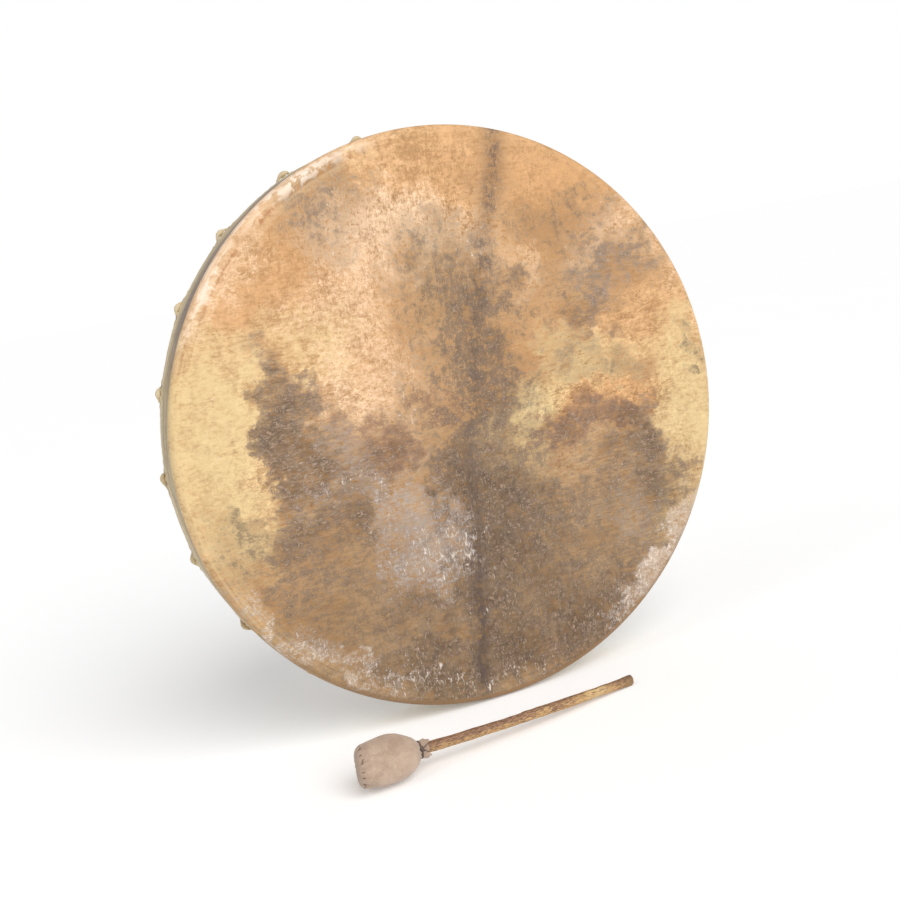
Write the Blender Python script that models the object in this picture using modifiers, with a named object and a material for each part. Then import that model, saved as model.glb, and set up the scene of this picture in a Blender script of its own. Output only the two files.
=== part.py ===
"""Frame drum with a laced rawhide head, and its padded beater.

The drum stands upright on its rim. Its axis is world Y: the playing face is the plane y = 0 and
looks along -Y, and the laced back looks along +Y. The origin is the centre of the playing face.
Angles around the drum are measured in the XZ plane from +X towards +Z.
"""

import math

import bpy
from mathutils import Vector

# Drum, in metres
RADIUS = 0.250  # outside of the skirt
DEPTH = 0.052  # playing face to the back of the folded lip
SKIN = 0.0017  # rawhide thickness
GAP = 0.0003  # clearance between touching pieces
FACE_EDGE_RADIUS = 0.007  # rounding from the face to the skirt
BACK_EDGE_RADIUS = 0.0032  # rounding from the skirt to the lip
LIP_WIDTH = 0.018  # how far the folded lip reaches inward
HOOP_THICKNESS = 0.008
HOOP_BACK = 0.0468  # back edge of the wooden hoop
HOOP_EASE = 0.0012  # eased corners of the hoop
RING_STEPS = 66  # three steps between lacing stations

# Lacing
STATIONS = 22
LACE_RADIUS = 0.0012
LACE_PLANE = 0.0484  # depth at which the laces cross the hoop's back edge
GRIP_PLANE = 0.0440  # depth of the hand grip's middle, so that the grip stays inside the rim
SLOT_OFFSET = 0.007  # each slot's distance from its station's centre line
SLOT_SIDE = 0.0032
BIGHT_STAND_OFF = 0.0016  # centre line of the outside bight above the skirt, at its middle
SHOULDER_STAND_OFF = 0.00125  # the same at the bight's two shoulders
SHOULDER_OFFSET = 0.0048  # each shoulder's distance from the station's centre line
LAYER_OFFSET = 0.00135  # the two strands of a station lie in two layers at the grip

# Hand grip: a cross of four bound bundles
GATHER_RADIUS = 0.090  # drum centre to the middle of each bundle's fan
FAN_RADIUS = 0.0093
BUNDLE_HALF_WIDTH = 0.005
BUNDLE_HALF_THICKNESS = 0.003
HUB_RADIUS = 0.0135
HUB_HALF_THICKNESS = 0.0075
WRAP_INNER = 0.0062
WRAP_OUTER = 0.0076
WRAP_START = 0.0145
WRAP_END = 0.077

# Lap joint of the bent hoop
LAP_MIDDLE = math.radians(318)
LAP_HALF_ANGLE = math.radians(19)
LAP_THICKNESS = 0.006
LAP_END_THICKNESS = 0.0012
LAP_INSET = 0.002

# Beater, lying on the floor in front of the drum
LOWEST_STATION = math.pi / STATIONS  # the two lowest stations lie this far either side of the bottom
FLOOR = -(
    (RADIUS + SHOULDER_STAND_OFF) * math.cos(LOWEST_STATION)
    + SHOULDER_OFFSET * math.sin(LOWEST_STATION)
    + LACE_RADIUS
)
BEATER_NECK = Vector((-0.1219, -0.0920, FLOOR + 0.0185))
BEATER_TIP = Vector((0.0874, -0.0590, FLOOR + 0.0043))
STICK_RADIUS = 0.0044
STICK_BOW = Vector((0.0010, -0.0040, 0.0))
STICK_POINTS = 16
STICK_EMBED = 0.024  # length of stick inside the padding
HEAD_LENGTH = 0.054
HEAD_RADIUS = 0.0203
COVER_THICKNESS = 0.0014
NECK_RADIUS = 0.0066
HEAD_STEPS = 32


def clear_scene():
    for obj in list(bpy.data.objects):
        bpy.data.objects.remove(obj)


def make_collection(name, hidden=False):
    collection = bpy.data.collections.new(name)
    collection.hide_render = hidden
    bpy.context.scene.collection.children.link(collection)
    return collection


def make_material(name, colour, roughness):
    material = bpy.data.materials.new(name)
    material.use_nodes = True
    shader = material.node_tree.nodes["Principled BSDF"]
    shader.inputs["Base Color"].default_value = (*colour, 1.0)
    shader.inputs["Roughness"].default_value = roughness
    shader.inputs["Metallic"].default_value = 0.0
    return material


def polar(radius, angle, depth, sideways=0.0):
    """A point at this radius and angle of the drum, moved sideways along the tangent."""
    return Vector(
        (
            radius * math.cos(angle) - sideways * math.sin(angle),
            depth,
            radius * math.sin(angle) + sideways * math.cos(angle),
        )
    )


def corner(centre, radius, start, end, segments):
    """Points of a rounded corner in a (radius, depth) profile, angles in degrees."""
    points = []
    for i in range(segments + 1):
        angle = math.radians(start + (end - start) * i / segments)
        points.append((centre[0] + radius * math.cos(angle), centre[1] + radius * math.sin(angle)))
    return points


def add_object(name, data, collection, material):
    obj = bpy.data.objects.new(name, data)
    collection.objects.link(obj)
    if material:
        obj.data.materials.append(material)
    return obj


def turned(name, profile, closed, steps, collection, material):
    """A profile of (radius, height) turned about its object's Z axis."""
    mesh = bpy.data.meshes.new(name)
    vertices = [(radius, 0.0, height) for radius, height in profile]
    edges = [(i, i + 1) for i in range(len(profile) - 1)]
    if closed:
        edges.append((len(profile) - 1, 0))
    mesh.from_pydata(vertices, edges, [])
    obj = add_object(name, mesh, collection, material)
    screw = obj.modifiers.new("Turn", "SCREW")
    screw.steps = steps
    screw.render_steps = steps
    screw.use_merge_vertices = True
    screw.merge_threshold = 0.00001
    screw.use_smooth_shade = True
    return obj


def tube(name, points, radius, collection, material, radii=None, bevel_resolution=2):
    """A round tube with filled ends along a row of points."""
    curve = bpy.data.curves.new(name, "CURVE")
    curve.dimensions = "3D"
    curve.bevel_depth = radius
    curve.bevel_resolution = bevel_resolution
    curve.use_fill_caps = True
    curve.twist_mode = "MINIMUM"
    spline = curve.splines.new("POLY")
    spline.points.add(len(points) - 1)
    for i, point in enumerate(points):
        spline.points[i].co = (*point, 1.0)
        spline.points[i].radius = radii[i] if radii else 1.0
    return add_object(name, curve, collection, material)


def flat_outline(name, outline, half_thickness, depth, collection, material):
    """A closed outline of (x, z) points, filled and extruded along the drum's axis."""
    curve = bpy.data.curves.new(name, "CURVE")
    curve.dimensions = "2D"
    curve.fill_mode = "BOTH"
    curve.extrude = half_thickness
    spline = curve.splines.new("POLY")
    spline.points.add(len(outline) - 1)
    for i, (x, z) in enumerate(outline):
        spline.points[i].co = (x, z, 0.0, 1.0)
    spline.use_cyclic_u = True
    obj = add_object(name, curve, collection, material)
    obj.rotation_euler = (math.pi / 2, 0.0, 0.0)
    obj.location = (0.0, depth, 0.0)
    return obj


def face_along_y(obj):
    """Lays a turned drum part down so that its height runs along +Y."""
    obj.rotation_euler = (-math.pi / 2, 0.0, 0.0)


def build_hoop(collection, material):
    outer = RADIUS - SKIN - GAP
    inner = outer - HOOP_THICKNESS
    front = SKIN + GAP
    nose = FACE_EDGE_RADIUS - SKIN - GAP
    profile = [(inner, HOOP_BACK - HOOP_EASE), (inner + HOOP_EASE, HOOP_BACK)]
    profile += [(outer - HOOP_EASE, HOOP_BACK), (outer, HOOP_BACK - HOOP_EASE)]
    profile += corner((outer - nose, front + nose), nose, 0, -90, 3)
    profile += [(inner, front + HOOP_EASE)]
    hoop = turned("hoop", profile, True, RING_STEPS, collection, material)
    face_along_y(hoop)
    return inner


def build_hoop_lap(inner, collection, material):
    """The overlapped end of the hoop's strip, tapered at both ends, inside the hoop."""
    outside = (inner - GAP) * math.cos(math.pi / RING_STEPS)
    steps = 12
    outer_side = []
    inner_side = []
    for i in range(steps + 1):
        share = 2.0 * i / steps - 1.0
        angle = LAP_MIDDLE + share * LAP_HALF_ANGLE
        taper = min(1.0, (1.0 - abs(share)) / 0.35)
        thickness = LAP_END_THICKNESS + (LAP_THICKNESS - LAP_END_THICKNESS) * taper
        outer_side.append((outside * math.cos(angle), outside * math.sin(angle)))
        inner_radius = outside - thickness
        inner_side.append((inner_radius * math.cos(angle), inner_radius * math.sin(angle)))
    front = SKIN + GAP + LAP_INSET
    back = HOOP_BACK - LAP_INSET
    outline = outer_side + inner_side[::-1]
    flat_outline("hoop_lap", outline, (back - front) / 2, (back + front) / 2, collection, material)


def build_slot_cutters(cutters):
    """Two square slots at each lacing station, through the skirt behind the hoop."""
    for station in range(STATIONS):
        angle = math.tau * station / STATIONS
        for side in (-1, 1):
            bpy.ops.mesh.primitive_cube_add(size=1.0)
            cutter = bpy.context.active_object
            cutter.name = f"slot_cutter_{station + 1:02d}_{'a' if side < 0 else 'b'}"
            cutter.scale = (0.010, SLOT_SIDE, SLOT_SIDE)
            cutter.rotation_euler = (0.0, -angle, 0.0)
            cutter.location = polar(RADIUS, angle, LACE_PLANE, side * SLOT_OFFSET)
            cutter.display_type = "WIRE"
            cutter.hide_render = True
            for owner in list(cutter.users_collection):
                owner.objects.unlink(cutter)
            cutters.objects.link(cutter)


def build_head(cutters, collection, material):
    """The rawhide: playing face, rounded edge, skirt and folded lip in one skin."""
    face = FACE_EDGE_RADIUS
    back = BACK_EDGE_RADIUS
    lip = RADIUS - LIP_WIDTH
    outside = [(lip, DEPTH)]
    outside += corner((RADIUS - back, DEPTH - back), back, 90, 0, 3)
    outside += corner((RADIUS - face, face), face, 0, -90, 4)
    outside += [(RADIUS * 0.5, 0.0), (0.0, 0.0)]
    inside = [(0.0, SKIN), (RADIUS * 0.5, SKIN)]
    inside += corner((RADIUS - face, face), face - SKIN, -90, 0, 4)
    inside += corner((RADIUS - back, DEPTH - back), back - SKIN, 0, 90, 3)
    inside += [(lip, DEPTH - SKIN)]
    # The two points on the axis stay unjoined, and the lip's edge closes the profile.
    profile = inside + outside
    head = turned("rawhide_head", profile, False, RING_STEPS, collection, material)
    face_along_y(head)
    slots = head.modifiers.new("Slots", "BOOLEAN")
    slots.operation = "DIFFERENCE"
    slots.operand_type = "COLLECTION"
    slots.collection = cutters
    slots.solver = "EXACT"


def arm_angle(angle):
    """The grip arm that a station's laces run to: the nearest of the four."""
    return round(angle / (math.pi / 2)) * (math.pi / 2)


def lace_path(angle, arm):
    """One station's lace: from the grip, out through a slot, across, and back to the grip."""
    middle = polar(GATHER_RADIUS, arm, GRIP_PLANE)
    halves = []
    for side in (-1, 1):
        under_lip = polar(RADIUS - LIP_WIDTH + 0.004, angle, LACE_PLANE, side * SLOT_OFFSET)
        towards = Vector((under_lip.x - middle.x, 0.0, under_lip.z - middle.z)).normalized()
        layer = Vector((0.0, side * LAYER_OFFSET, 0.0))
        start = middle + towards * (FAN_RADIUS + 0.0006) + layer
        half = [start, start.lerp(under_lip, 0.5), under_lip]
        half.append(polar(RADIUS - 0.0015, angle, LACE_PLANE, side * SLOT_OFFSET))
        half.append(polar(RADIUS + 0.0004, angle, LACE_PLANE, side * SLOT_OFFSET))
        half.append(polar(RADIUS + 0.0011, angle, LACE_PLANE, side * (SLOT_OFFSET - 0.0008)))
        half.append(polar(RADIUS + SHOULDER_STAND_OFF, angle, LACE_PLANE, side * SHOULDER_OFFSET))
        halves.append(half)
    top = polar(RADIUS + BIGHT_STAND_OFF, angle, LACE_PLANE)
    return halves[0] + [top] + halves[1][::-1]


def build_laces(collection, material):
    for station in range(STATIONS):
        angle = math.tau * station / STATIONS
        path = lace_path(angle, arm_angle(angle))
        tube(f"lace_{station + 1:02d}", path, LACE_RADIUS, collection, material)


def build_bundle(name, arm, collection, material):
    """Strands of one arm lying side by side, with a round fan where the laces spread."""
    outline = [(HUB_RADIUS + 0.0006, -BUNDLE_HALF_WIDTH)]
    half_angle = math.asin(BUNDLE_HALF_WIDTH / FAN_RADIUS)
    steps = 10
    for i in range(steps + 1):
        share = i / steps
        angle = -math.pi + half_angle + share * (math.tau - 2 * half_angle)
        outline.append((GATHER_RADIUS + FAN_RADIUS * math.cos(angle), FAN_RADIUS * math.sin(angle)))
    outline.append((HUB_RADIUS + 0.0006, BUNDLE_HALF_WIDTH))
    turn = [
        (x * math.cos(arm) - z * math.sin(arm), x * math.sin(arm) + z * math.cos(arm))
        for x, z in outline
    ]
    flat_outline(name, turn, BUNDLE_HALF_THICKNESS, GRIP_PLANE, collection, material)


def build_wrap(name, arm, collection, material):
    """The strip wound round one bundle, as the sleeve that its turns fill."""
    ease = 0.0006
    profile = [
        (WRAP_OUTER - ease, WRAP_END),
        (WRAP_OUTER, WRAP_END - ease),
        (WRAP_OUTER, WRAP_START + ease),
        (WRAP_OUTER - ease, WRAP_START),
        (WRAP_INNER, WRAP_START),
        (WRAP_INNER, WRAP_END),
    ]
    wrap = turned(name, profile, True, 16, collection, material)
    wrap.rotation_euler = (0.0, math.pi / 2 - arm, 0.0)
    wrap.location = (0.0, GRIP_PLANE, 0.0)


def build_grip(collection, lace_material, wrap_material):
    for number in range(4):
        arm = number * math.pi / 2
        build_bundle(f"grip_bundle_{number + 1}", arm, collection, lace_material)
        build_wrap(f"grip_wrap_{number + 1}", arm, collection, wrap_material)
    bpy.ops.mesh.primitive_uv_sphere_add(segments=16, ring_count=10, radius=1.0)
    hub = bpy.context.active_object
    hub.name = "grip_hub"
    hub.scale = (HUB_RADIUS, HUB_RADIUS, HUB_HALF_THICKNESS)
    hub.rotation_euler = (math.pi / 2, 0.0, 0.0)
    hub.location = (0.0, GRIP_PLANE, 0.0)
    hub.data.shade_smooth()
    hub.data.materials.append(wrap_material)
    for owner in list(hub.users_collection):
        owner.objects.unlink(hub)
    collection.objects.link(hub)


def stick_point(share):
    """Centre line of the beater's branch, bowed between neck and tip."""
    bow = 4.0 * share * (1.0 - share)
    return BEATER_NECK.lerp(BEATER_TIP, share) + STICK_BOW * bow


def head_axis():
    """Direction from the beater's neck to the far end of its head."""
    return (stick_point(0.0) - stick_point(0.12)).normalized()


def along_head(obj):
    """Places a turned beater part: its Z axis runs from the neck to the far end."""
    obj.rotation_mode = "QUATERNION"
    obj.rotation_quaternion = head_axis().to_track_quat("Z", "Y")
    obj.location = BEATER_NECK


def head_profile(shrink):
    """(radius, height) of the stuffed head from its far end down to the neck."""
    shape = (
        (0.0, 1.0),
        (0.38, 1.0),
        (0.66, 0.955),
        (0.87, 0.86),
        (0.97, 0.73),
        (1.0, 0.56),
        (0.95, 0.38),
        (0.82, 0.22),
        (0.62, 0.10),
    )
    points = []
    for radius_share, height_share in shape:
        radius = max(0.0, HEAD_RADIUS * radius_share - shrink)
        height = HEAD_LENGTH * height_share
        if height_share > 0.9:
            height -= shrink
        points.append((radius if radius_share else 0.0, height))
    return points


def build_beater_stick(collection, material):
    neck = stick_point(0.0)
    points = [neck + head_axis() * STICK_EMBED]
    radii = [0.86]
    for i in range(STICK_POINTS):
        share = i / (STICK_POINTS - 1)
        points.append(stick_point(share))
        radii.append(0.90 + 0.12 * math.sin(math.pi * min(1.0, share * 1.25)) + 0.05 * share)
    tube("beater_stick", points, STICK_RADIUS, collection, material, radii, 3)


def build_beater_cover(collection, material):
    """Soft leather over the padding, drawn in at the neck and flared beyond the tie."""
    outside = head_profile(0.0)
    outside += [(NECK_RADIUS + 0.0003, 0.0015), (NECK_RADIUS, -0.001), (0.0090, -0.0065)]
    bore = STICK_RADIUS + GAP * 2
    inside = [(0.0081, -0.0072), (bore, -0.001), (bore, 0.0022)]
    inside += head_profile(COVER_THICKNESS)[::-1]
    cover = turned("beater_cover", outside + inside, False, HEAD_STEPS, collection, material)
    along_head(cover)


def build_beater_padding(collection, material):
    """Stuffing inside the cover, round the end of the stick."""
    bore = STICK_RADIUS + GAP
    outside = head_profile(COVER_THICKNESS + GAP)[:-1]
    outside.append((outside[-1][0] * 0.85, HEAD_LENGTH * 0.15))
    inside = [(bore, HEAD_LENGTH * 0.15), (bore, STICK_EMBED + GAP), (0.0, STICK_EMBED + GAP)]
    padding = turned("beater_padding", outside + inside, False, 24, collection, material)
    along_head(padding)


def torus(name, major, minor, height, sides, rings, collection, material):
    bpy.ops.mesh.primitive_torus_add(
        major_radius=major, minor_radius=minor, major_segments=sides, minor_segments=rings
    )
    ring = bpy.context.active_object
    ring.name = name
    ring.data.shade_smooth()
    ring.data.materials.append(material)
    for owner in list(ring.users_collection):
        owner.objects.unlink(ring)
    collection.objects.link(ring)
    along_head(ring)
    ring.location = BEATER_NECK + head_axis() * height


def build_beater(collection, wood, suede, stuffing, thread):
    build_beater_stick(collection, wood)
    build_beater_cover(collection, suede)
    build_beater_padding(collection, stuffing)
    tie_minor = 0.0009
    torus("beater_neck_tie", NECK_RADIUS + tie_minor + GAP * 2, tie_minor, 0.0, 20, 6, collection, thread)
    stitch_minor = 0.0005
    stitch_height = HEAD_LENGTH + stitch_minor + GAP
    torus("beater_end_stitch", 0.0055, stitch_minor, stitch_height, 20, 6, collection, thread)


def main():
    clear_scene()
    cutters = make_collection("cutters", hidden=True)
    drum = make_collection("frame_drum")
    rawhide = make_material("rawhide", (0.60, 0.40, 0.20), 0.55)
    hoop_wood = make_material("hoop_wood", (0.50, 0.32, 0.17), 0.60)
    lace_rawhide = make_material("lace_rawhide", (0.68, 0.52, 0.32), 0.60)
    grip_suede = make_material("grip_suede", (0.36, 0.22, 0.13), 0.85)
    beater_wood = make_material("beater_wood", (0.33, 0.19, 0.09), 0.60)
    beater_suede = make_material("beater_suede", (0.52, 0.40, 0.31), 0.90)
    stuffing = make_material("stuffing", (0.80, 0.76, 0.68), 0.95)
    thread = make_material("thread", (0.16, 0.11, 0.09), 0.80)
    hoop_inner = build_hoop(drum, hoop_wood)
    build_hoop_lap(hoop_inner, drum, hoop_wood)
    build_slot_cutters(cutters)
    build_head(cutters, drum, rawhide)
    build_laces(drum, lace_rawhide)
    build_grip(drum, lace_rawhide, grip_suede)
    build_beater(drum, beater_wood, beater_suede, stuffing, thread)


main()
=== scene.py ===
"""Looks of the laced frame drum and its beater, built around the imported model.

The drum's axis is world Y, its playing face is the plane y = 0 looking along -Y, and the origin is
the face's centre. Angles around the drum are measured in the XZ plane from +X towards +Z.
"""

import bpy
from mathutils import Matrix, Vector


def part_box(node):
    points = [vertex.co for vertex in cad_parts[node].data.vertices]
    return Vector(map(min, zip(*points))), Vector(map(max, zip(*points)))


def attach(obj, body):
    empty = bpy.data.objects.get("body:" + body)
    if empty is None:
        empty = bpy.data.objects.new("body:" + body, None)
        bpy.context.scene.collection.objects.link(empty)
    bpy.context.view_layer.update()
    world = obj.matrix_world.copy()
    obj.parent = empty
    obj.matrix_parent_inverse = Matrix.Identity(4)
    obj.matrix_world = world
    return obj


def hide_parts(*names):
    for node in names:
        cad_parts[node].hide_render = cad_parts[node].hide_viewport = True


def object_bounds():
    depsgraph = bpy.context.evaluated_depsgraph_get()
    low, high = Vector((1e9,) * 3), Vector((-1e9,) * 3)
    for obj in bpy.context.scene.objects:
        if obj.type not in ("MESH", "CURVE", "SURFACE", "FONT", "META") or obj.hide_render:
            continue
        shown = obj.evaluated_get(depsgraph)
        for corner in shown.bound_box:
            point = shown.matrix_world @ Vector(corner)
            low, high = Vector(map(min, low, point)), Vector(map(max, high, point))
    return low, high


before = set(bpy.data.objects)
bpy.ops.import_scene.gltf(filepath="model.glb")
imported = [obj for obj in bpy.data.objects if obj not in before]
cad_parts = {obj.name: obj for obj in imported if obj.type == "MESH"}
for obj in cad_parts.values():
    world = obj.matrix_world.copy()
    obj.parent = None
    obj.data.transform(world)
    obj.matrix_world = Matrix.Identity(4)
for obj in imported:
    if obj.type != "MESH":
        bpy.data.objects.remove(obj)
CAD_BOUNDS = [list(corner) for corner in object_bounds()]

import math

import bpy
import numpy as np
from mathutils import Matrix, Vector
from mathutils.bvhtree import BVHTree

HEAD_LOW, HEAD_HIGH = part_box("rawhide_head")
RADIUS = (HEAD_HIGH.x - HEAD_LOW.x) / 2
DEPTH = HEAD_HIGH.y
FLOOR = CAD_BOUNDS[0][2]
HOOP_LOW, HOOP_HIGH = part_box("hoop")
GRIP_PLANE = (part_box("grip_hub")[0].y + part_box("grip_hub")[1].y) / 2

SKIN = 0.0017
FACE_EDGE_RADIUS = 0.007
BACK_EDGE_RADIUS = 0.0032
LIP_WIDTH = 0.018
HOOP_THICKNESS = 0.008
STATIONS = 22
STATION_STEP = math.tau / STATIONS
SLOT_OFFSET = 0.007
LACE_PLANE = 0.0484
SLOT_FRONT, SLOT_BACK = 0.0468, 0.0500
# Stations whose outward direction points further down than this stand on the floor.
LOWEST = -0.97
CLEAR_OF_FLOOR = FLOOR + 0.0001
WRAP_START, WRAP_END, TIE_END = 0.0145, 0.0785, 0.0872
WRAP_RADIUS, WRAP_PITCH = 0.0068, 0.0041
UP = np.array((0.0, 0.0, 1.0))
DEEP = np.array((0.0, 1.0, 0.0))

DRUM = "drum"
BEATER = "beater"


# ---------------------------------------------------------------- mesh tools


def smooth_step(value):
    value = np.clip(value, 0.0, 1.0)
    return value * value * (3.0 - 2.0 * value)


def bell(value, width):
    """A soft bump of height 1 around 0."""
    return np.exp(-((value / width) ** 2))


def wobble(value, seed, octaves=4, base=1.0):
    """Smooth repeating noise of about -1 to 1; value is an angle when base is a whole number."""
    rng = np.random.default_rng(seed)
    total = 0.0
    for octave in range(octaves):
        phase = rng.uniform(0, math.tau)
        total = total + np.sin(value * base * (octave + 1) + phase) / (octave + 1) ** 0.7
    return total / 1.8


def add_mesh(name, vertices, faces, material):
    mesh = bpy.data.meshes.new(name)
    mesh.from_pydata([tuple(v) for v in vertices], [], [tuple(f) for f in faces])
    mesh.validate()
    mesh.update()
    obj = bpy.data.objects.new(name, mesh)
    bpy.context.scene.collection.objects.link(obj)
    mesh.materials.append(material)
    mesh.shade_smooth()
    return obj


def tube_faces(rings, sides, closed=False, capped=True):
    """Faces of a tube whose points come ring by ring; a closed tube joins up with its start."""
    faces = []
    for i in range(rings if closed else rings - 1):
        j = (i + 1) % rings
        for k in range(sides):
            m = (k + 1) % sides
            faces.append((i * sides + k, i * sides + m, j * sides + m, j * sides + k))
    if capped and not closed:
        faces.append(tuple(range(sides))[::-1])
        faces.append(tuple((rings - 1) * sides + k for k in range(sides)))
    return faces


def place(obj, body, nodes=()):
    """Rides a finished piece on its body and hides the imported parts it stands for."""
    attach(obj, body)
    if nodes:
        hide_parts(*nodes)
    return obj


def configure(thing, **settings):
    for name, value in settings.items():
        setattr(thing, name, value)
    return thing


def modify(obj, kind, **settings):
    configure(obj.modifiers.new(kind.lower(), kind), **settings)


def apply_modifiers(obj):
    graph = bpy.context.evaluated_depsgraph_get()
    graph.update()
    mesh = bpy.data.meshes.new_from_object(obj.evaluated_get(graph))
    obj.modifiers.clear()
    obj.data = mesh


def smooth_path(points, count):
    """Points evenly spaced along a Catmull-Rom curve through the given points."""
    source = [np.array(p, float) for p in points]
    source = [2 * source[0] - source[1]] + source + [2 * source[-1] - source[-2]]
    dense = []
    for i in range(1, len(source) - 2):
        a, b, c, d = source[i - 1 : i + 3]
        for t in np.linspace(0, 1, 24, endpoint=False):
            dense.append(0.5 * (2 * b + (c - a) * t + (2 * a - 5 * b + 4 * c - d) * t * t
                                + (3 * b - a - 3 * c + d) * t ** 3))
    dense.append(source[-2])
    dense = np.array(dense)
    run = np.concatenate([[0], np.cumsum(np.linalg.norm(np.diff(dense, axis=0), axis=1))])
    targets = np.linspace(0, run[-1], count)
    return np.stack([np.interp(targets, run, dense[:, k]) for k in range(3)], axis=1)


def sweep(name, path, widths, thicknesses, sides, material, normals, squareness=0.75, closed=False):
    """A strip or rod along a path. normals give the direction of its thickness at each point."""
    path = np.array(path, float)
    count = len(path)
    if closed:
        tangents = np.roll(path, -1, axis=0) - np.roll(path, 1, axis=0)
    else:
        tangents = np.gradient(path, axis=0)
    tangents /= np.linalg.norm(tangents, axis=1)[:, None]
    normals = np.array(normals, float)
    normals -= tangents * (normals * tangents).sum(axis=1)[:, None]
    normals /= np.linalg.norm(normals, axis=1)[:, None]
    sideways = np.cross(tangents, normals)
    angles = np.arange(sides) / sides * math.tau
    c, s = np.cos(angles), np.sin(angles)
    across = np.sign(c) * np.abs(c) ** squareness
    up = np.sign(s) * np.abs(s) ** squareness
    widths = np.broadcast_to(widths, (count,))
    thicknesses = np.broadcast_to(thicknesses, (count,))
    rings = (path[:, None, :]
             + sideways[:, None, :] * (across[None, :, None] * widths[:, None, None] / 2)
             + normals[:, None, :] * (up[None, :, None] * thicknesses[:, None, None] / 2))
    return add_mesh(name, rings.reshape(-1, 3), tube_faces(count, sides, closed), material)


def polar(radius, angle, depth, sideways=0.0):
    c, s = math.cos(angle), math.sin(angle)
    return np.array((radius * c - sideways * s, depth, radius * s + sideways * c))


# ---------------------------------------------------------------- material tools


class Field:
    """A node's output, which can stand in sums, products and quotients."""

    def __init__(self, graph, socket):
        self.graph, self.socket = graph, socket

    def __add__(self, other):
        return self.graph.math("ADD", self, other)

    def __sub__(self, other):
        return self.graph.math("SUBTRACT", self, other)

    def __rsub__(self, other):
        return self.graph.math("SUBTRACT", other, self)

    def __mul__(self, other):
        return self.graph.math("MULTIPLY", self, other)

    def __truediv__(self, other):
        return self.graph.math("DIVIDE", self, other)

    __radd__, __rmul__ = __add__, __mul__


class Graph:
    """Short calls for building one material's nodes."""

    def __init__(self, name):
        self.material = bpy.data.materials.new(name)
        self.material.use_nodes = True
        self.tree = self.material.node_tree
        self.shader = self.tree.nodes["Principled BSDF"]
        self.position = self.node("TexCoord", {}, "Object")

    def link(self, source, target):
        """Joins a field to an input, or gives the input a value."""
        if isinstance(source, Field):
            self.tree.links.new(source.socket, target)
        elif isinstance(source, (int, float)):
            target.default_value = (source,) * 3 if target.type == "VECTOR" else source
        else:
            target.default_value = (*source, 1.0) if target.type == "RGBA" else source

    def node(self, kind, inputs, output=0, **settings):
        node = configure(self.tree.nodes.new("ShaderNode" + kind), **settings)
        for key, value in inputs.items():
            self.link(value, node.inputs[key])
        return Field(self, node.outputs[output])

    def math(self, operation, a, b=0.0, clamp=False):
        return self.node("Math", {0: a, 1: b}, operation=operation, use_clamp=clamp)

    def vector(self, operation, a, b=(0.0, 0.0, 0.0)):
        return self.node("VectorMath", {0: a, 1: b}, operation=operation)

    def length(self, vector):
        return self.node("VectorMath", {0: vector}, "Value", operation="LENGTH")

    def scale(self, vector, factor):
        return self.node("VectorMath", {0: vector, "Scale": factor}, operation="SCALE")

    def separate(self, vector):
        parts = self.node("SeparateXYZ", {0: vector}).socket.node.outputs
        return [Field(self, part) for part in parts]

    def combine(self, x, y, z):
        return self.node("CombineXYZ", {0: x, 1: y, 2: z})

    def noise(self, vector, scale, detail=4.0, roughness=0.55, distortion=0.0, colour=False):
        inputs = {"Vector": vector, "Scale": scale, "Detail": detail, "Roughness": roughness}
        return self.node("TexNoise", {**inputs, "Distortion": distortion}, "Color" if colour else "Fac")

    def span(self, value, low, high, to_low=0.0, to_high=1.0, smooth=True):
        """Maps low..high to to_low..to_high, clamped."""
        inputs = {"Value": value, "From Min": low, "From Max": high, "To Min": to_low, "To Max": to_high}
        return self.node("MapRange", inputs, interpolation_type="SMOOTHSTEP" if smooth else "LINEAR")

    def mix(self, factor, a, b, blend="MIX"):
        inputs = {0: factor, 6: a, 7: b}
        return self.node("Mix", inputs, 2, data_type="RGBA", blend_type=blend, clamp_factor=True)

    def shaded(self, colour, shade):
        """The colour multiplied by one value."""
        return self.mix(1.0, colour, self.combine(shade, shade, shade), "MULTIPLY")

    def mapped(self, vector, scale=(1, 1, 1), rotation=(0, 0, 0)):
        return self.node("Mapping", {"Vector": vector, "Scale": scale, "Rotation": rotation})

    def bump(self, height, distance, strength=1.0):
        return self.node("Bump", {"Height": height, "Distance": distance, "Strength": strength})

    def bell(self, value, centre, width):
        """A soft bump of height 1 where value is centre."""
        near = (value - centre) / width
        return self.math("EXPONENT", near * near * -1.0)

    def finish(self, colour, roughness, **values):
        for name, value in {"Base Color": colour, "Roughness": roughness, **values}.items():
            self.link(value, self.shader.inputs[name.replace("_", " ")])
        return self.material


def srgb(red, green, blue):
    """A colour given as the eye's 0-255 values, in the linear values that shaders use."""
    out = []
    for value in (red, green, blue):
        value /= 255.0
        out.append(value / 12.92 if value <= 0.04045 else ((value + 0.055) / 1.055) ** 2.4)
    return tuple(out)


# ---------------------------------------------------------------- rawhide

# Patches of colour in the hide: (across, up, half-width, half-height, tilt, strength), the first
# four in hundredths of the drum's radius and the tilt in degrees. Each field is a sum of such spots.

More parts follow.
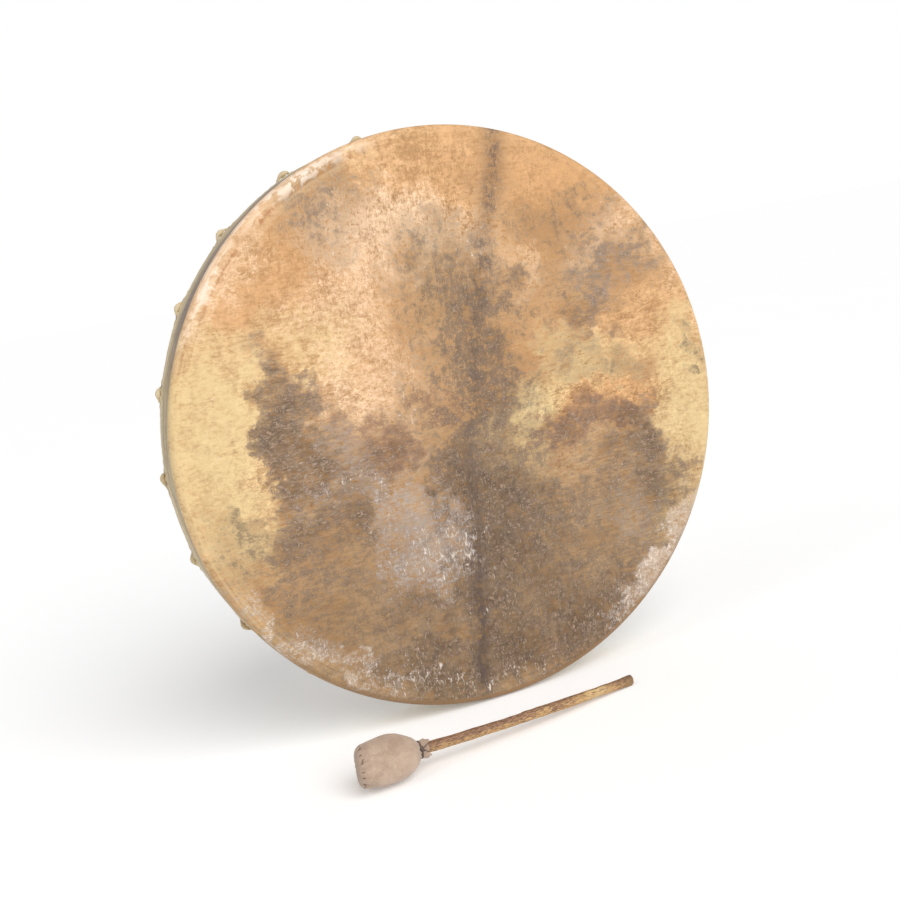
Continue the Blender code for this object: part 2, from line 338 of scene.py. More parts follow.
DARK = [
    (14, 42, 10, 14, -8, 0.7), (9, 28, 12, 17, 0, 0.5), (11, 13, 11, 14, 0, 0.8),
    (-1, 17, 9, 10, 0, 0.4), (2, 50, 10, 10, 0, 0.2), (12, 2, 9, 10, 0, 0.5), (0, -8, 10, 16, 0, 0.7),
    (1, -26, 15, 20, 0, 2.1), (-2, -45, 14, 20, 0, 1.3), (0, -66, 14, 20, 0, 0.8),
    (16, -44, 16, 20, 0, 0.5), (-12, -60, 12, 10, 0, 0.7), (-60, 18, 13, 10, 0, 1.7),
    (-66, 11, 9, 9, 0, 1.1), (-60, 2, 10, 13, 0, 1.2), (-54, -10, 18, 9, 0, 0.55),
    (-63, -25, 19, 7, 0, 0.8), (-48, -23, 20, 8, 0, 0.55), (-68, -36, 15, 7, 0, 0.5),
    (-64, 31, 8, 6, 0, 0.5), (-36, -3, 15, 7, 0, 0.5), (-58, -46, 20, 6, 0, 0.3),
    (50, 27, 13, 6, 0, 0.7), (66, 44, 15, 7, 10, 0.5), (57, 36, 10, 6, 20, 0.4), (45, 15, 8, 6, 0, 0.3),
    (70, -18, 9, 13, 0, 1.3), (72, -34, 12, 12, 0, 0.6), (20, -37, 13, 12, 0, 0.7),
    (38, -38, 18, 10, 0, 0.35), (20, -14, 9, 7, 0, 0.35), (55, -28, 10, 10, 0, 0.35),
    (45, -12, 22, 4, 0, 0.5), (74, -30, 8, 12, 0, 0.5), (62, -56, 12, 8, 0, 0.4),
    (42, -74, 20, 12, 0, 0.95), (42, -88, 10, 5, 0, 0.5), (20, -84, 24, 12, 0, 0.9),
    (36, -90, 24, 8, 16, 1.1), (-20, -57, 14, 9, 0, 0.6), (-14, -88, 20, 13, 0, 1.8),
    (-34, -84, 16, 9, 0, 0.8), (-36, -68, 14, 10, 0, 0.35), (20, -66, 30, 20, 0, 0.4),
    (-37, 80, 10, 8, -20, 0.3), (62, 62, 12, 6, 0, 0.25), (-77, 3, 9, 15, 0, -2.4),
    (-10, -50, 8, 12, 0, 0.5),
]
UMBER = [
    (-82, -28, 16, 20, 0, 0.2), (30, 30, 26, 30, 0, 0.2), (20, -66, 62, 42, 0, 2.0),
    (42, -46, 36, 24, 0, 0.7), (-20, -74, 55, 32, 0, 1.8), (10, -92, 70, 26, 0, 1.6),
    (5, 10, 20, 50, 0, 0.9), (50, -12, 26, 8, 0, 0.5), (47, 64, 16, 10, 0, 0.6),
    (-48, -20, 36, 22, 0, 0.8), (70, -32, 16, 22, 0, 0.4), (-2, 47, 20, 20, 0, 0.6),
    (-50, -55, 45, 28, 0, 1.4), (-38, 80, 18, 18, -30, 0.4), (62, 42, 24, 14, 0, 0.6),
    (-25, 2, 20, 12, 0, 0.4), (24, 78, 10, 25, -12, 0.2), (0, -35, 25, 30, 0, 1.2),
    (-60, 10, 16, 16, 0, 0.6), (-35, 90, 20, 6, -20, 0.4), (94, 10, 6, 5, 30, 0.45),
    (-82, -36, 12, 10, 0, -0.3), (64, 8, 16, 8, 0, 0.35), (-78, 3, 9, 15, 0, -1.3),
]
ORANGE = [
    (52, 74, 40, 26, 0, 0.7), (10, 87, 50, 16, 0, 0.45), (-50, 62, 32, 26, 0, 0.8),
    (35, 33, 32, 26, 0, 0.5), (-16, 40, 22, 22, 0, 0.6), (-16, 18, 16, 14, 0, 0.5),
    (27, 8, 18, 18, 0, 0.8), (-58, -50, 40, 22, 0, 0.6), (62, 62, 26, 18, 0, 0.4),
    (52, -2, 32, 16, 0, 1.0), (-45, -38, 26, 16, 0, 0.6), (40, -88, 24, 8, 25, 1.0),
    (80, 34, 22, 26, 0, 0.5), (-80, -20, 14, 24, 0, 0.4), (-15, -20, 10, 10, 0, 0.35),
    (-75, 45, 18, 10, 0, 0.3), (-5, -2, 12, 14, 0, 0.5), (70, 12, 22, 14, 0, 0.3),
]
YELLOW = [
    (-88, 12, 20, 34, 0, 1.0), (93, -12, 15, 28, 0, 0.9), (78, -45, 12, 12, 0, 0.5),
    (-86, -20, 12, 26, 0, 0.3), (80, 14, 18, 12, 0, 0.3), (25, -3, 14, 12, 0, 0.9),
    (20, -23, 12, 10, 0, 0.3), (-50, 36, 20, 12, 0, 0.3), (45, 10, 20, 12, 0, 0.6),
]
PINK = [
    (-20, 72, 26, 16, 0, 1.0), (-30, 16, 26, 16, 0, 0.6), (-33, 46, 20, 14, 0, 0.5),
    (-5, 62, 20, 10, 0, 0.5), (66, 57, 16, 12, 0, 0.6), (60, 46, 14, 8, 0, 0.5),
    (30, 46, 8, 14, 0, 0.4), (16, 60, 8, 12, 0, 0.5), (-22, -8, 10, 8, 0, 0.5),
    (-75, 60, 10, 22, -45, 0.5), (85, 45, 8, 18, 20, 0.4),
]
RED = [
    (-33, 4, 12, 8, 0, 0.9), (-35, -5, 12, 6, 0, 0.7), (45, -11, 20, 6, 0, 1.2),
    (57, -13, 10, 5, 0, 0.8), (-8, 10, 8, 8, 0, 0.5), (22, -90, 14, 5, 0, 0.7),
    (-2, -90, 15, 7, 0, 0.35), (-25, -3, 7, 5, 0, 0.6),
]
PURPLE = [
    (-45, 2, 10, 7, 0, 0.8), (-42, -12, 18, 9, 0, 0.7), (-30, -52, 15, 9, 0, 0.4),
    (66, 40, 14, 7, 0, 0.6), (60, -45, 14, 9, 0, 0.5),
]
WORN = [
    (50, 2, 34, 20, 0, 0.9), (25, -12, 24, 16, 0, 0.9), (-35, -2, 26, 16, 0, 0.9),
    (-62, 0, 20, 30, 0, 0.5), (62, 40, 26, 20, 0, 0.5), (40, -50, 50, 40, 0, 0.5),
    (-30, -65, 50, 30, 0, 0.5), (-60, -35, 30, 25, 0, 0.6), (70, -30, 24, 30, 0, 0.6),
    (0, -90, 60, 20, 0, 0.8), (-20, 72, 30, 20, 0, 0.4), (15, 60, 20, 30, 0, 0.5),
]
SCUFF = [
    (-22, -36, 15, 14, 0, 1.0), (-28, -44, 10, 11, 0, 0.6), (-17, -42, 8, 8, 0, 0.5),
    (-34, -20, 7, 10, 20, 0.7), (-22, -22, 10, 7, 0, 0.6), (68, -68, 26, 7, 44, 1.0),
    (52, -80, 12, 5, 30, 0.7), (-72, -60, 20, 5, -46, 0.6), (-50, -80, 20, 5, -30, 0.5),
    (-86, -45, 12, 4, -60, 0.4),
]
RIM_WEAR = [
    (87, -44, 16, 4, 64, 1.0), (79, -58, 17, 6, 54, 1.5), (66, -72, 20, 6, 44, 1.3),
    (54, -82, 8, 2.5, 32, 0.3), (-80, -52, 14, 3.5, -58, 0.5), (-68, -67, 14, 4, -45, 0.5),
    (-52, -79, 14, 3.5, -34, 0.4),
]
FLECKS = [
    (-40, -84, 20, 6, -14, 0.9), (-22, -89, 16, 7, 0, 1.0), (5, -93, 16, 5, 0, 0.9),
    (3, -89, 7, 5, 0, 0.6), (50, -78, 14, 7, 32, 0.8), (66, -68, 14, 7, 44, 1.0),
    (-2, 62, 16, 11, 0, 0.5), (-24, 72, 20, 14, 0, 0.45), (-22, 12, 12, 9, 0, 0.6),
    (-12, -42, 13, 10, 0, 1.1), (-24, -36, 16, 14, 0, 0.7), (2, -53, 3, 3, 0, 1.5),
    (-42, -12, 20, 10, 0, 0.7), (-5, -70, 8, 5, 0, 0.7), (12, 62, 8, 16, 0, 0.5),
    (76, -55, 10, 8, 0, 0.8), (-72, -58, 14, 6, -45, 0.6), (22, 80, 5, 20, -12, 0.4),
]

# A spot fades out evenly from its centre, so it reaches further than its size and starts stronger.
SPOT_SPREAD = 1.35
SPOT_GAIN = 1.25


def spots(graph, where, table):
    """The sum of one table of soft spots, as a field."""
    total = 0.0
    for across, up, half_width, half_height, tilt, strength in table:
        spot = graph.node("TexGradient", {"Vector": where}, "Fac", gradient_type="SPHERICAL")
        mapping = spot.socket.node.texture_mapping
        mapping.vector_type = "TEXTURE"
        mapping.translation = (across / 100, up / 100, 0.0)
        mapping.rotation = (0.0, 0.0, math.radians(tilt))
        mapping.scale = (half_width / 100 * SPOT_SPREAD, half_height / 100 * SPOT_SPREAD, 1.0)
        inputs = {0: spot, 1: strength * SPOT_GAIN, 2: total}
        total = graph.node("Math", inputs, operation="MULTIPLY_ADD")
    return total


class HideTexture:
    """The hide's own unevenness at several sizes; each field is centred on 0 and mostly within 2."""

    def __init__(self, g, hide):
        self.g = g
        self.cloud = self.noise(hide, 6.0, 6.0, 0.6, 0.3)
        self.mottle = self.noise(hide, 21.0, 6.0, 0.62, 0.8)
        self.curl = self.noise(hide, 70.0, 4.0, 0.6, 0.8)
        self.grain = self.noise(hide, 210.0, 2.0, 0.5)
        # The hair lay away from the middle: along X at the sides, and along Z above and below.
        x, z = g.separate(hide)[:2]
        beside = g.math("ABSOLUTE", x) - g.math("ABSOLUTE", z)
        beside = g.span(beside + self.cloud * 0.05, -0.5, 0.45)
        self.hair = self.directed(hide, beside, 13.0, 62.0)
        self.fibre = self.directed(hide, beside, 48.0, 190.0)
        slanted = g.mapped(hide, rotation=(0, 0, 0.5), scale=(24, 100, 1))
        self.tilted = self.noise(slanted, 1.0, 4.0, 0.6, 0.6)

    def noise(self, vector, scale, detail, roughness=0.6, distortion=0.0):
        return (self.g.noise(vector, scale, detail, roughness, distortion) - 0.5) * 14.0

    def directed(self, hide, beside, along, across):
        g = self.g
        level = self.noise(g.mapped(hide, scale=(along, across, 1)), 1.0, 4.0, 0.62, 0.5)
        upright = self.noise(g.mapped(hide, scale=(across, along, 1)), 1.0, 4.0, 0.62, 0.5)
        return upright + (level - upright) * beside

    def mixed(self, **weights):
        return sum(getattr(self, name) * weight for name, weight in weights.items())


def rawhide(name, inside=False):
    """The mottled hide: patches, grain, scuffs, an edge band and a streaked wall, with painted highlight
    and painted shade.
    """
    g = Graph(name)
    position = g.scale(g.position, 1.0 / RADIUS)
    x, y, z = g.separate(position)[:3]
    flat = g.combine(x, z, 0.0)
    radius = g.length(flat)
    # The pattern runs on over the edge and down the wall.
    reach = (radius + y) / g.math("MAXIMUM", radius, 0.02)
    hide = g.scale(flat, reach)
    slow = g.vector("SUBTRACT", g.noise(hide, 3.5, 3.0, 0.6, colour=True), (0.5, 0.5, 0.5))
    quick = g.vector("SUBTRACT", g.noise(hide, 15.0, 6.0, 0.68, colour=True), (0.5, 0.5, 0.5))
    warped = g.vector("ADD", g.vector("ADD", hide, g.scale(slow, 0.4)), g.scale(quick, 0.34))
    warped = g.mapped(warped, scale=(1, 1, 0))
    texture = HideTexture(g, hide)
    ragged = texture.mixed(mottle=0.5, curl=0.5, hair=0.36, fibre=0.42, grain=0.34)
    cloudy = texture.mixed(cloud=0.6, mottle=0.45, tilted=0.4, curl=0.35, fibre=0.2)
    fine = texture.mixed(curl=0.6, fibre=0.55, grain=0.35, mottle=0.3)
    calm = 0.5 if inside else 1.0

    def patch(table, strength, broken=ragged, bite=0.36, soft=0.8, gain=1.25):
        """Opacity of one pigment: its soft field, with edges broken up by the hide's texture."""
        density = 1.0 - g.math("EXPONENT", spots(g, warped, table) * -gain)
        cover = g.span((density - 0.5) * 1.4 + broken * bite, -soft, soft)
        cover = cover * g.span(density, 0.0, 0.3)
        return g.math("MULTIPLY", cover, strength * calm, clamp=True)

    colour = g.mix(g.span(cloudy, -1.8, 1.8), srgb(190, 146, 100), srgb(225, 184, 138))
    colour = g.mix(patch(ORANGE, 0.75, cloudy, 0.26, soft=0.9), colour, srgb(190, 139, 88))
    yellow = patch(YELLOW, 1.0, cloudy, 0.2, soft=0.9, gain=1.7)
    colour = g.mix(yellow, colour, srgb(213, 187, 137))
    colour = g.mix(patch(PINK, 0.75, fine, 0.26, soft=0.8), colour, srgb(230, 198, 166))
    brown = g.mix(g.span(ragged, -1.5, 1.5), srgb(160, 133, 100), srgb(88, 74, 60))
    umber = patch(UMBER, 0.84, cloudy * 0.6 + ragged * 0.7, 0.4, soft=1.1)
    colour = g.mix(umber, colour, brown)
    colour = g.mix(patch(RED, 0.8, ragged, 0.4), colour, srgb(132, 96, 74))
    root = g.mix(g.span(fine, -1.5, 1.5), srgb(68, 57, 50), srgb(122, 102, 86))
    dark = patch(DARK, 0.91, ragged, 0.44, soft=0.95)
    colour = g.mix(dark, colour, root)
    # Fine pale hairs and worn points over the darker pigment.
    pale_points = g.span(texture.mixed(fibre=0.5, hair=0.35, grain=0.2, curl=0.6), 0.0, 2.3, 0.0, 0.32)
    covered = g.math("MAXIMUM", umber, dark)
    pale_points = pale_points * covered
    colour = g.mix(pale_points * calm, colour, srgb(176, 146, 108))
    stripe = back_stripe(g, g.vector("ADD", hide, g.scale(slow, 0.1)), z)
    stripe = g.math("MULTIPLY", stripe, g.span(ragged, -1.6, 1.6, 0.25, 1.1), clamp=True)
    colour = g.mix(stripe * calm, colour, srgb(82, 68, 62))
    colour = g.mix(patch(PURPLE, 0.45, fine, 0.34), colour, srgb(152, 136, 124))
    scuff = patch(SCUFF, 0.42, fine, 0.4, soft=0.9)
    colour = g.mix(scuff, colour, srgb(188, 177, 171))
    rim_wear = patch(RIM_WEAR, 0.62, fine, 0.36, soft=0.9)
    colour = g.mix(rim_wear, colour, srgb(206, 186, 168))
    chips = texture.noise(g.mapped(hide, scale=(1.4, 0.62, 1)), 56.0, 4.0, 0.66, 0.9)
    chips = chips + g.math("MINIMUM", spots(g, warped, FLECKS), 1.3) * 1.6
    chips = g.span(chips, 2.4, 3.8, 0.0, 0.66 * calm)
    colour = g.mix(chips, colour, srgb(228, 216, 204))

    # Pores and fibres all over, stronger where the hide is worn.
    worn = g.math("MINIMUM", spots(g, warped, WORN), 1.0)
    tone = texture.mixed(cloud=0.035, mottle=0.045, curl=0.055, grain=0.04, hair=0.035, fibre=0.05,
                         tilted=0.03)
    tone = tone * (worn * 1.1 + covered * 0.75 + yellow * -0.3 + 0.62)
    shade = g.span(tone, -0.6, 0.4, 0.4, 1.4, smooth=False)
    # Thick hide is darker and more golden, worn hide paler and greyer.
    golden = g.combine(shade, g.math("POWER", shade, 1.04), g.math("POWER", shade, 1.12))
    colour = g.mix(1.0, colour, golden, "MULTIPLY")
    # Painted shade: the face is made darker towards the bottom, where less light falls.
    colour = g.shaded(colour, g.span(z, 0.3, -0.9, 1.0, 0.9))
    even = g.span(texture.mottle, -1.5, 1.5)
    if inside:
        colour = g.mix(0.45, colour, srgb(214, 190, 152))
    else:
        colour = edge_and_wall(g, colour, flat, shade, radius, y, even)

    height = texture.mixed(curl=0.05, grain=0.03, hair=0.04, fibre=0.05, mottle=0.05) + chips * 0.4
    roughness = g.span(tone - scuff * 0.1, -0.2, 0.2, 0.64, 0.48)
    return g.finish(colour, roughness, Normal=g.bump(height, 0.0005, 0.5), Specular_IOR_Level=0.3)


def back_stripe(g, warped, up):
    """The dark line along the animal's back, which crosses the hide from top to bottom."""
    x, z = g.separate(warped)[:2]
    middle = z * 0.205 + 0.035 + z * z * 0.07
    line = g.bell(x, middle, g.span(up, 0.2, 0.7, 0.028, 0.042))
    below = g.span(up, -0.3, -0.7, 0.4, 0.95)
    above = g.span(up, 0.4, 0.85, 0.0, 0.3)
    return line * (below + above)


def edge_and_wall(g, colour, flat, shade, radius, y, mottle):
    """The band where the hide turns over the hoop, with a painted highlight at the upper left and painted
    shade at the bottom, and the streaked wall behind it.
    """
    x, z = g.separate(flat)[:2]
    angle = g.math("ARCTAN2", z, x)
    around = g.combine(g.math("COSINE", angle), g.math("SINE", angle), 0.0)

    def round_noise(spread, across, detail=5.0, distortion=0.3):
        """Noise that runs on round the drum and changes with across."""
        where = g.vector("ADD", g.scale(around, spread), g.combine(0.0, 0.0, across))
        return g.noise(where, 1.0, detail, 0.6, distortion)

    streaks = round_noise(3.0, y * 95.0)
    patches = round_noise(5.0, y * 12.0)
    upper_left = spots(g, around, [(-60, 80, 42, 42, 0, 1.3)])
    bottom = spots(g, around, [(10, -100, 80, 50, 0, 1.3)])

    # Fine rings where the hide was stretched over the hoop's front edge; their tint is paler at the upper
    # left, with the painted highlight there.
    rings = round_noise(2.5, radius * 120.0, 3.0, 0.0)
    near_edge = g.span(radius, 0.9, 0.955) * g.span(rings, 0.35, 0.65, 0.0, 0.26)
    near_edge = near_edge * g.span(x, 0.3, -0.6, 0.3, 1.0)
    near_edge = near_edge * g.span(z, -0.85, -0.4, 0.35, 1.0)
    colour = g.mix(near_edge, colour, g.mix(upper_left, srgb(228, 198, 146), srgb(238, 210, 172)))
    line = g.math("ABSOLUTE", radius - 0.957)
    line = g.span(line + mottle * 0.02, 0.002, 0.014, 0.45, 0.0)
    line = line * (upper_left + 0.25)
    colour = g.mix(line, colour, srgb(176, 124, 84))

    # Painted highlight: a pale band on the turned edge at the upper left, where the light falls.
    band = g.span(radius + (mottle - 0.5) * 0.03, 0.955, 0.99)
    light = g.math("MINIMUM", upper_left, 1.0) * g.span(mottle, 0.1, 0.8, 0.35, 0.8)
    painted_highlight = g.mix(g.span(streaks, 0.38, 0.62), srgb(222, 184, 144), srgb(248, 230, 212))
    colour = g.mix(band * light, colour, painted_highlight)
    # Painted shade: a brown band on the turned edge at the bottom, which faces down away from the light.
    turned = g.span(radius, 0.972, 0.982)
    brown = turned * g.math("MINIMUM", bottom * 0.8, 0.8)
    colour = g.mix(brown, colour, g.mix(streaks, srgb(124, 94, 64), srgb(160, 124, 84)))

    wall = g.span(y, 0.026, 0.040)
    hide_wall = g.mix(g.span(streaks, 0.36, 0.64), srgb(154, 144, 116), srgb(206, 187, 148))
    hide_wall = g.mix(g.span(patches, 0.48, 0.7, 0.0, 0.7), hide_wall, srgb(160, 130, 90))
    drift = y + (patches - 0.5) * 0.16 + (streaks - 0.5) * 0.14
    left = g.math("MINIMUM", spots(g, around, [(-62, 78, 62, 50, 0, 1.5)]), 1.0)
    grey = g.span(drift, 0.18, 0.05, 0.0, 0.85) * left
    hide_wall = g.mix(grey, hide_wall, srgb(122, 112, 116))
    # Painted highlight: towards the back the wall is made paler, as if lit along the back edge.
    hide_wall = g.mix(g.span(drift, 0.1, 0.2, 0.0, 0.8), hide_wall, srgb(228, 212, 176))
    # Painted shadow round the two slots of each lacing station.
    turn = angle / STATION_STEP + (STATIONS + 0.5)
    across = (g.math("FRACT", turn) - 0.5) * STATION_STEP
    slot = g.math("ABSOLUTE", across) - SLOT_OFFSET / RADIUS
    behind = y - LACE_PLANE / RADIUS
    near = g.length(g.combine(slot, behind * 0.45, 0.0))
    painted_slot_shadow = g.span(near + mottle * 0.006, 0.004, 0.020, 0.75, 0.0)
    # dirt holds the painted slot shadow and the wall's darker streaky patches.
    dirt = g.math("MAXIMUM", painted_slot_shadow, g.span(patches, 0.42, 0.62, 0.0, 0.22))
    hide_wall = g.mix(dirt, hide_wall, srgb(104, 84, 64))
    hide_wall = g.shaded(hide_wall, shade * 0.8 + 0.2)
    return g.mix(wall * 0.9, colour, hide_wall)


def build_skin():
    """The hide: face, turned edge, wall and folded lip, with its lacing slots and puckers."""
    half = STATION_STEP * RADIUS / 2
    offsets = [0.0018, 0.0036, 0.0054, 0.0086, 0.0106, 0.013, 0.016, 0.0195, 0.0235, 0.0275, 0.0315]
    one = sorted([-o for o in offsets] + [0.0] + offsets + [half])
    across = np.array(one)
    columns = np.concatenate([k * STATION_STEP + across / RADIUS for k in range(STATIONS)])
    per = len(one)
    inner_edge = RADIUS - FACE_EDGE_RADIUS
    corner = RADIUS - BACK_EDGE_RADIUS
    back_turn = DEPTH - BACK_EDGE_RADIUS
    slot_turn = math.asin((SLOT_BACK - back_turn) / BACK_EDGE_RADIUS)
    profile = [(r, 0.0) for r in np.linspace(0.004, 0.2365, 48)]
    profile += [(r, 0.0) for r in (0.2383, 0.2394, 0.2403, 0.2416)]
    profile += [(inner_edge + FACE_EDGE_RADIUS * math.sin(a), FACE_EDGE_RADIUS * (1 - math.cos(a)))
                for a in np.linspace(0, math.pi / 2, 10)]
    profile += [(RADIUS, y) for y in np.linspace(FACE_EDGE_RADIUS, SLOT_FRONT, 22)[1:]]
    slot_row = len(profile) - 1
    profile += [(RADIUS, LACE_PLANE)]
    profile += [(corner + BACK_EDGE_RADIUS * math.cos(a), back_turn + BACK_EDGE_RADIUS * math.sin(a))
                for a in np.linspace(slot_turn, math.pi / 2, 6)]
    profile += [(r, DEPTH) for r in np.linspace(corner, RADIUS - LIP_WIDTH, 7)[1:]]

    rng = np.random.default_rng(11)
    amplitudes = rng.uniform(0.0011, 0.0017, STATIONS)
    skews = rng.uniform(-0.002, 0.002, STATIONS)
    lowest = np.sin(np.arange(STATIONS) * STATION_STEP) < LOWEST
    amplitudes[lowest] = 0.0003
    run = np.arange(len(columns))
    station = (run // per) % STATIONS
    tangential = np.tile(across, STATIONS)
    vertices = []
    for index, (r, y) in enumerate(profile):
        bulge = 0.0
        if y >= FACE_EDGE_RADIUS:
            near = bell(y - 0.0465, 0.0095)
            t = tangential - skews[station]
            swell = amplitudes[station] * bell(t, 0.0125)
            ridge = 0.0005 * np.sin(t * 900 + station) * bell(t, 0.018)
            groove = 0.0004 * bell(t, 0.0028)
            sag = 0.0004 * wobble(columns, 5, 9, 3.0)
            bulge = near * (swell + ridge - groove) + sag * smooth_step((y - 0.007) / 0.02)
        radius = np.full(len(columns), r) + bulge
        depth = np.full(len(columns), y)
        if index >= len(profile) - 6:
            inward = (RADIUS - BACK_EDGE_RADIUS - r) / (LIP_WIDTH - BACK_EDGE_RADIUS)
            wavy = 0.0016 * wobble(columns, 8, 12, 5.0) + 0.0018 * bell(tangential, 0.012)
            radius = radius + inward * wavy
            depth = depth + inward * 0.0006 * wobble(columns, 9, 8, 11.0)
        if y == 0.0 and r < inner_edge:
            lowered = 0.0005 * smooth_step((0.2425 - r) / 0.004)
            flat_parts = smooth_step(r / 0.1) * smooth_step((0.235 - r) / 0.03)
            depth = depth + lowered + 0.00012 * wobble(columns, 3, 6, 2.0) * flat_parts
        vertices.append(np.stack([radius * np.cos(columns), depth, radius * np.sin(columns)], axis=1))
    centre = len(vertices) * len(columns)
    vertices = np.concatenate(vertices + [np.array([[0.0, 0.0005, 0.0]])])
    vertices[:, 2] = np.maximum(vertices[:, 2], CLEAR_OF_FLOOR)
    count = len(columns)
    left = one.index(-0.0086)
    right = one.index(0.0054)
    faces = [(centre, c, (c + 1) % count) for c in range(count)]
    for row in range(len(profile) - 1):
        for c in range(count):
            if row in (slot_row, slot_row + 1) and c % per in (left, right):
                continue
            d = (c + 1) % count
            faces.append((row * count + c, (row + 1) * count + c, (row + 1) * count + d, row * count + d))
    skin = add_mesh("rawhide_skin", vertices, faces, rawhide("rawhide"))
    skin.data.materials.append(rawhide("rawhide_flesh_side", inside=True))
    modify(skin, "SOLIDIFY", thickness=SKIN, offset=-1.0, material_offset=1, use_even_offset=False)
    apply_modifiers(skin)
    return place(skin, DRUM, ["rawhide_head"])


# ---------------------------------------------------------------- wood, lace and leather


def wood(name):
    """Bent ash-like strip: grain runs round the drum, with broad growth bands and pores."""
    g = Graph(name)
    x, y, z = g.separate(g.mapped(g.position, rotation=(0.0, math.radians(-138.0), 0.0)))[:3]
    around = g.math("ARCTAN2", z, x) * RADIUS
    bend = g.noise(g.combine(around * 9.0, y * 60.0, 0.0), 1.0, 3.0)
    level = y * 330.0 + bend * 9.0
    growth = g.noise(g.combine(around * 2.2, level, 3.0), 1.0, 3.0, 0.6)
    fibres = g.noise(g.combine(around * 30.0, level * 6.0, 0.0), 1.0, 5.0, 0.7)
    pores = g.noise(g.combine(around * 120.0, level * 14.0, 5.0), 1.0, 2.0)
    colour = g.mix(g.span(growth, 0.35, 0.65), srgb(206, 168, 118), srgb(168, 122, 76))
    colour = g.mix(g.span(fibres, 0.4, 0.75, 0.0, 0.55), colour, srgb(142, 100, 60))
    colour = g.mix(g.span(pores, 0.66, 0.72, 0.0, 0.7), colour, srgb(96, 66, 40))
    stain = g.noise(g.position, 9.0, 4.0, 0.6)
    colour = g.mix(g.span(stain, 0.5, 0.75, 0.0, 0.4), colour, srgb(128, 96, 64))
    height = fibres * 0.7 - g.span(pores, 0.64, 0.72)
    return g.finish(colour, g.span(fibres, 0.3, 0.7, 0.5, 0.68), Normal=g.bump(height, 0.0003, 0.5))


def lace_hide(name, tint=0.0):
    """Translucent-looking rawhide strip: pale, drawn out, darker where it is thin and dirty."""
    g = Graph(name)
    broad = g.noise(g.position, 42.0, 4.0, 0.6)
    fine = g.noise(g.position, 900.0, 3.0, 0.6, 0.5)
    mottle = g.noise(g.position, 260.0, 4.0, 0.65, 0.8)
    colour = g.mix(g.span(broad, 0.35, 0.7), srgb(218, 204, 172), srgb(192, 168, 128))
    colour = g.mix(g.span(mottle, 0.5, 0.75, 0.0, 0.6), colour, srgb(184, 150, 100))
    colour = g.mix(g.span(fine, 0.55, 0.75, 0.0, 0.35), colour, srgb(240, 230, 204))
    colour = g.mix(tint, colour, srgb(170, 134, 88))
    height = mottle * 0.8 + fine * 0.4
    roughness = g.span(mottle, 0.3, 0.7, 0.38, 0.58)
    return g.finish(colour, roughness, Normal=g.bump(height, 0.0003, 0.6), Specular_IOR_Level=0.4)


def suede(name, light, dark):
    """Napped leather: soft broad shading, a fine fuzzy nap and small creases."""
    g = Graph(name)
    cloud = g.noise(g.position, 60.0, 5.0, 0.6, 0.4)
    nap = g.noise(g.position, 1500.0, 3.0, 0.7)
    crease = g.noise(g.position, 330.0, 4.0, 0.6, 1.4)
    colour = g.mix(g.span(cloud, 0.3, 0.72), light, dark)
    shade = g.span(nap * 0.6 + crease * 0.4, 0.32, 0.68, 0.86, 1.1)
    colour = g.shaded(colour, shade)
    height = nap * 0.5 + crease * 0.7
    return g.finish(colour, g.span(crease, 0.3, 0.7, 0.82, 0.97), Normal=g.bump(height, 0.0003, 0.55),
                    Specular_IOR_Level=0.15, Sheen_Weight=0.25, Sheen_Roughness=0.6)


def thread(name):
    g = Graph(name)
    twist = g.noise(g.position, 2600.0, 2.0, 0.6)
    colour = g.mix(g.span(twist, 0.35, 0.65), srgb(72, 58, 52), srgb(122, 104, 94))
    return g.finish(colour, 0.8, Normal=g.bump(twist, 0.0002, 0.6))


def stuffing(name):
    g = Graph(name)
    fluff = g.noise(g.position, 500.0, 5.0, 0.7, 1.0)
    colour = g.mix(g.span(fluff, 0.3, 0.7), srgb(214, 206, 190), srgb(176, 164, 146))
    return g.finish(colour, 0.95, Normal=g.bump(fluff, 0.001, 0.8))


# ---------------------------------------------------------------- hoop


def rounded_rectangle(r0, r1, y0, y1, corner):
    """An (r, y) section with rounded corners."""
    points, steps = [], 4
    middles = [(r1 - corner, y0 + corner, -90), (r1 - corner, y1 - corner, 0),
               (r0 + corner, y1 - corner, 90), (r0 + corner, y0 + corner, 180)]
    for r, y, start in middles:
        for k in range(steps + 1):
            a = math.radians(start + 90.0 * k / steps)
            points.append((r + corner * math.cos(a), y + corner * math.sin(a)))
    return points


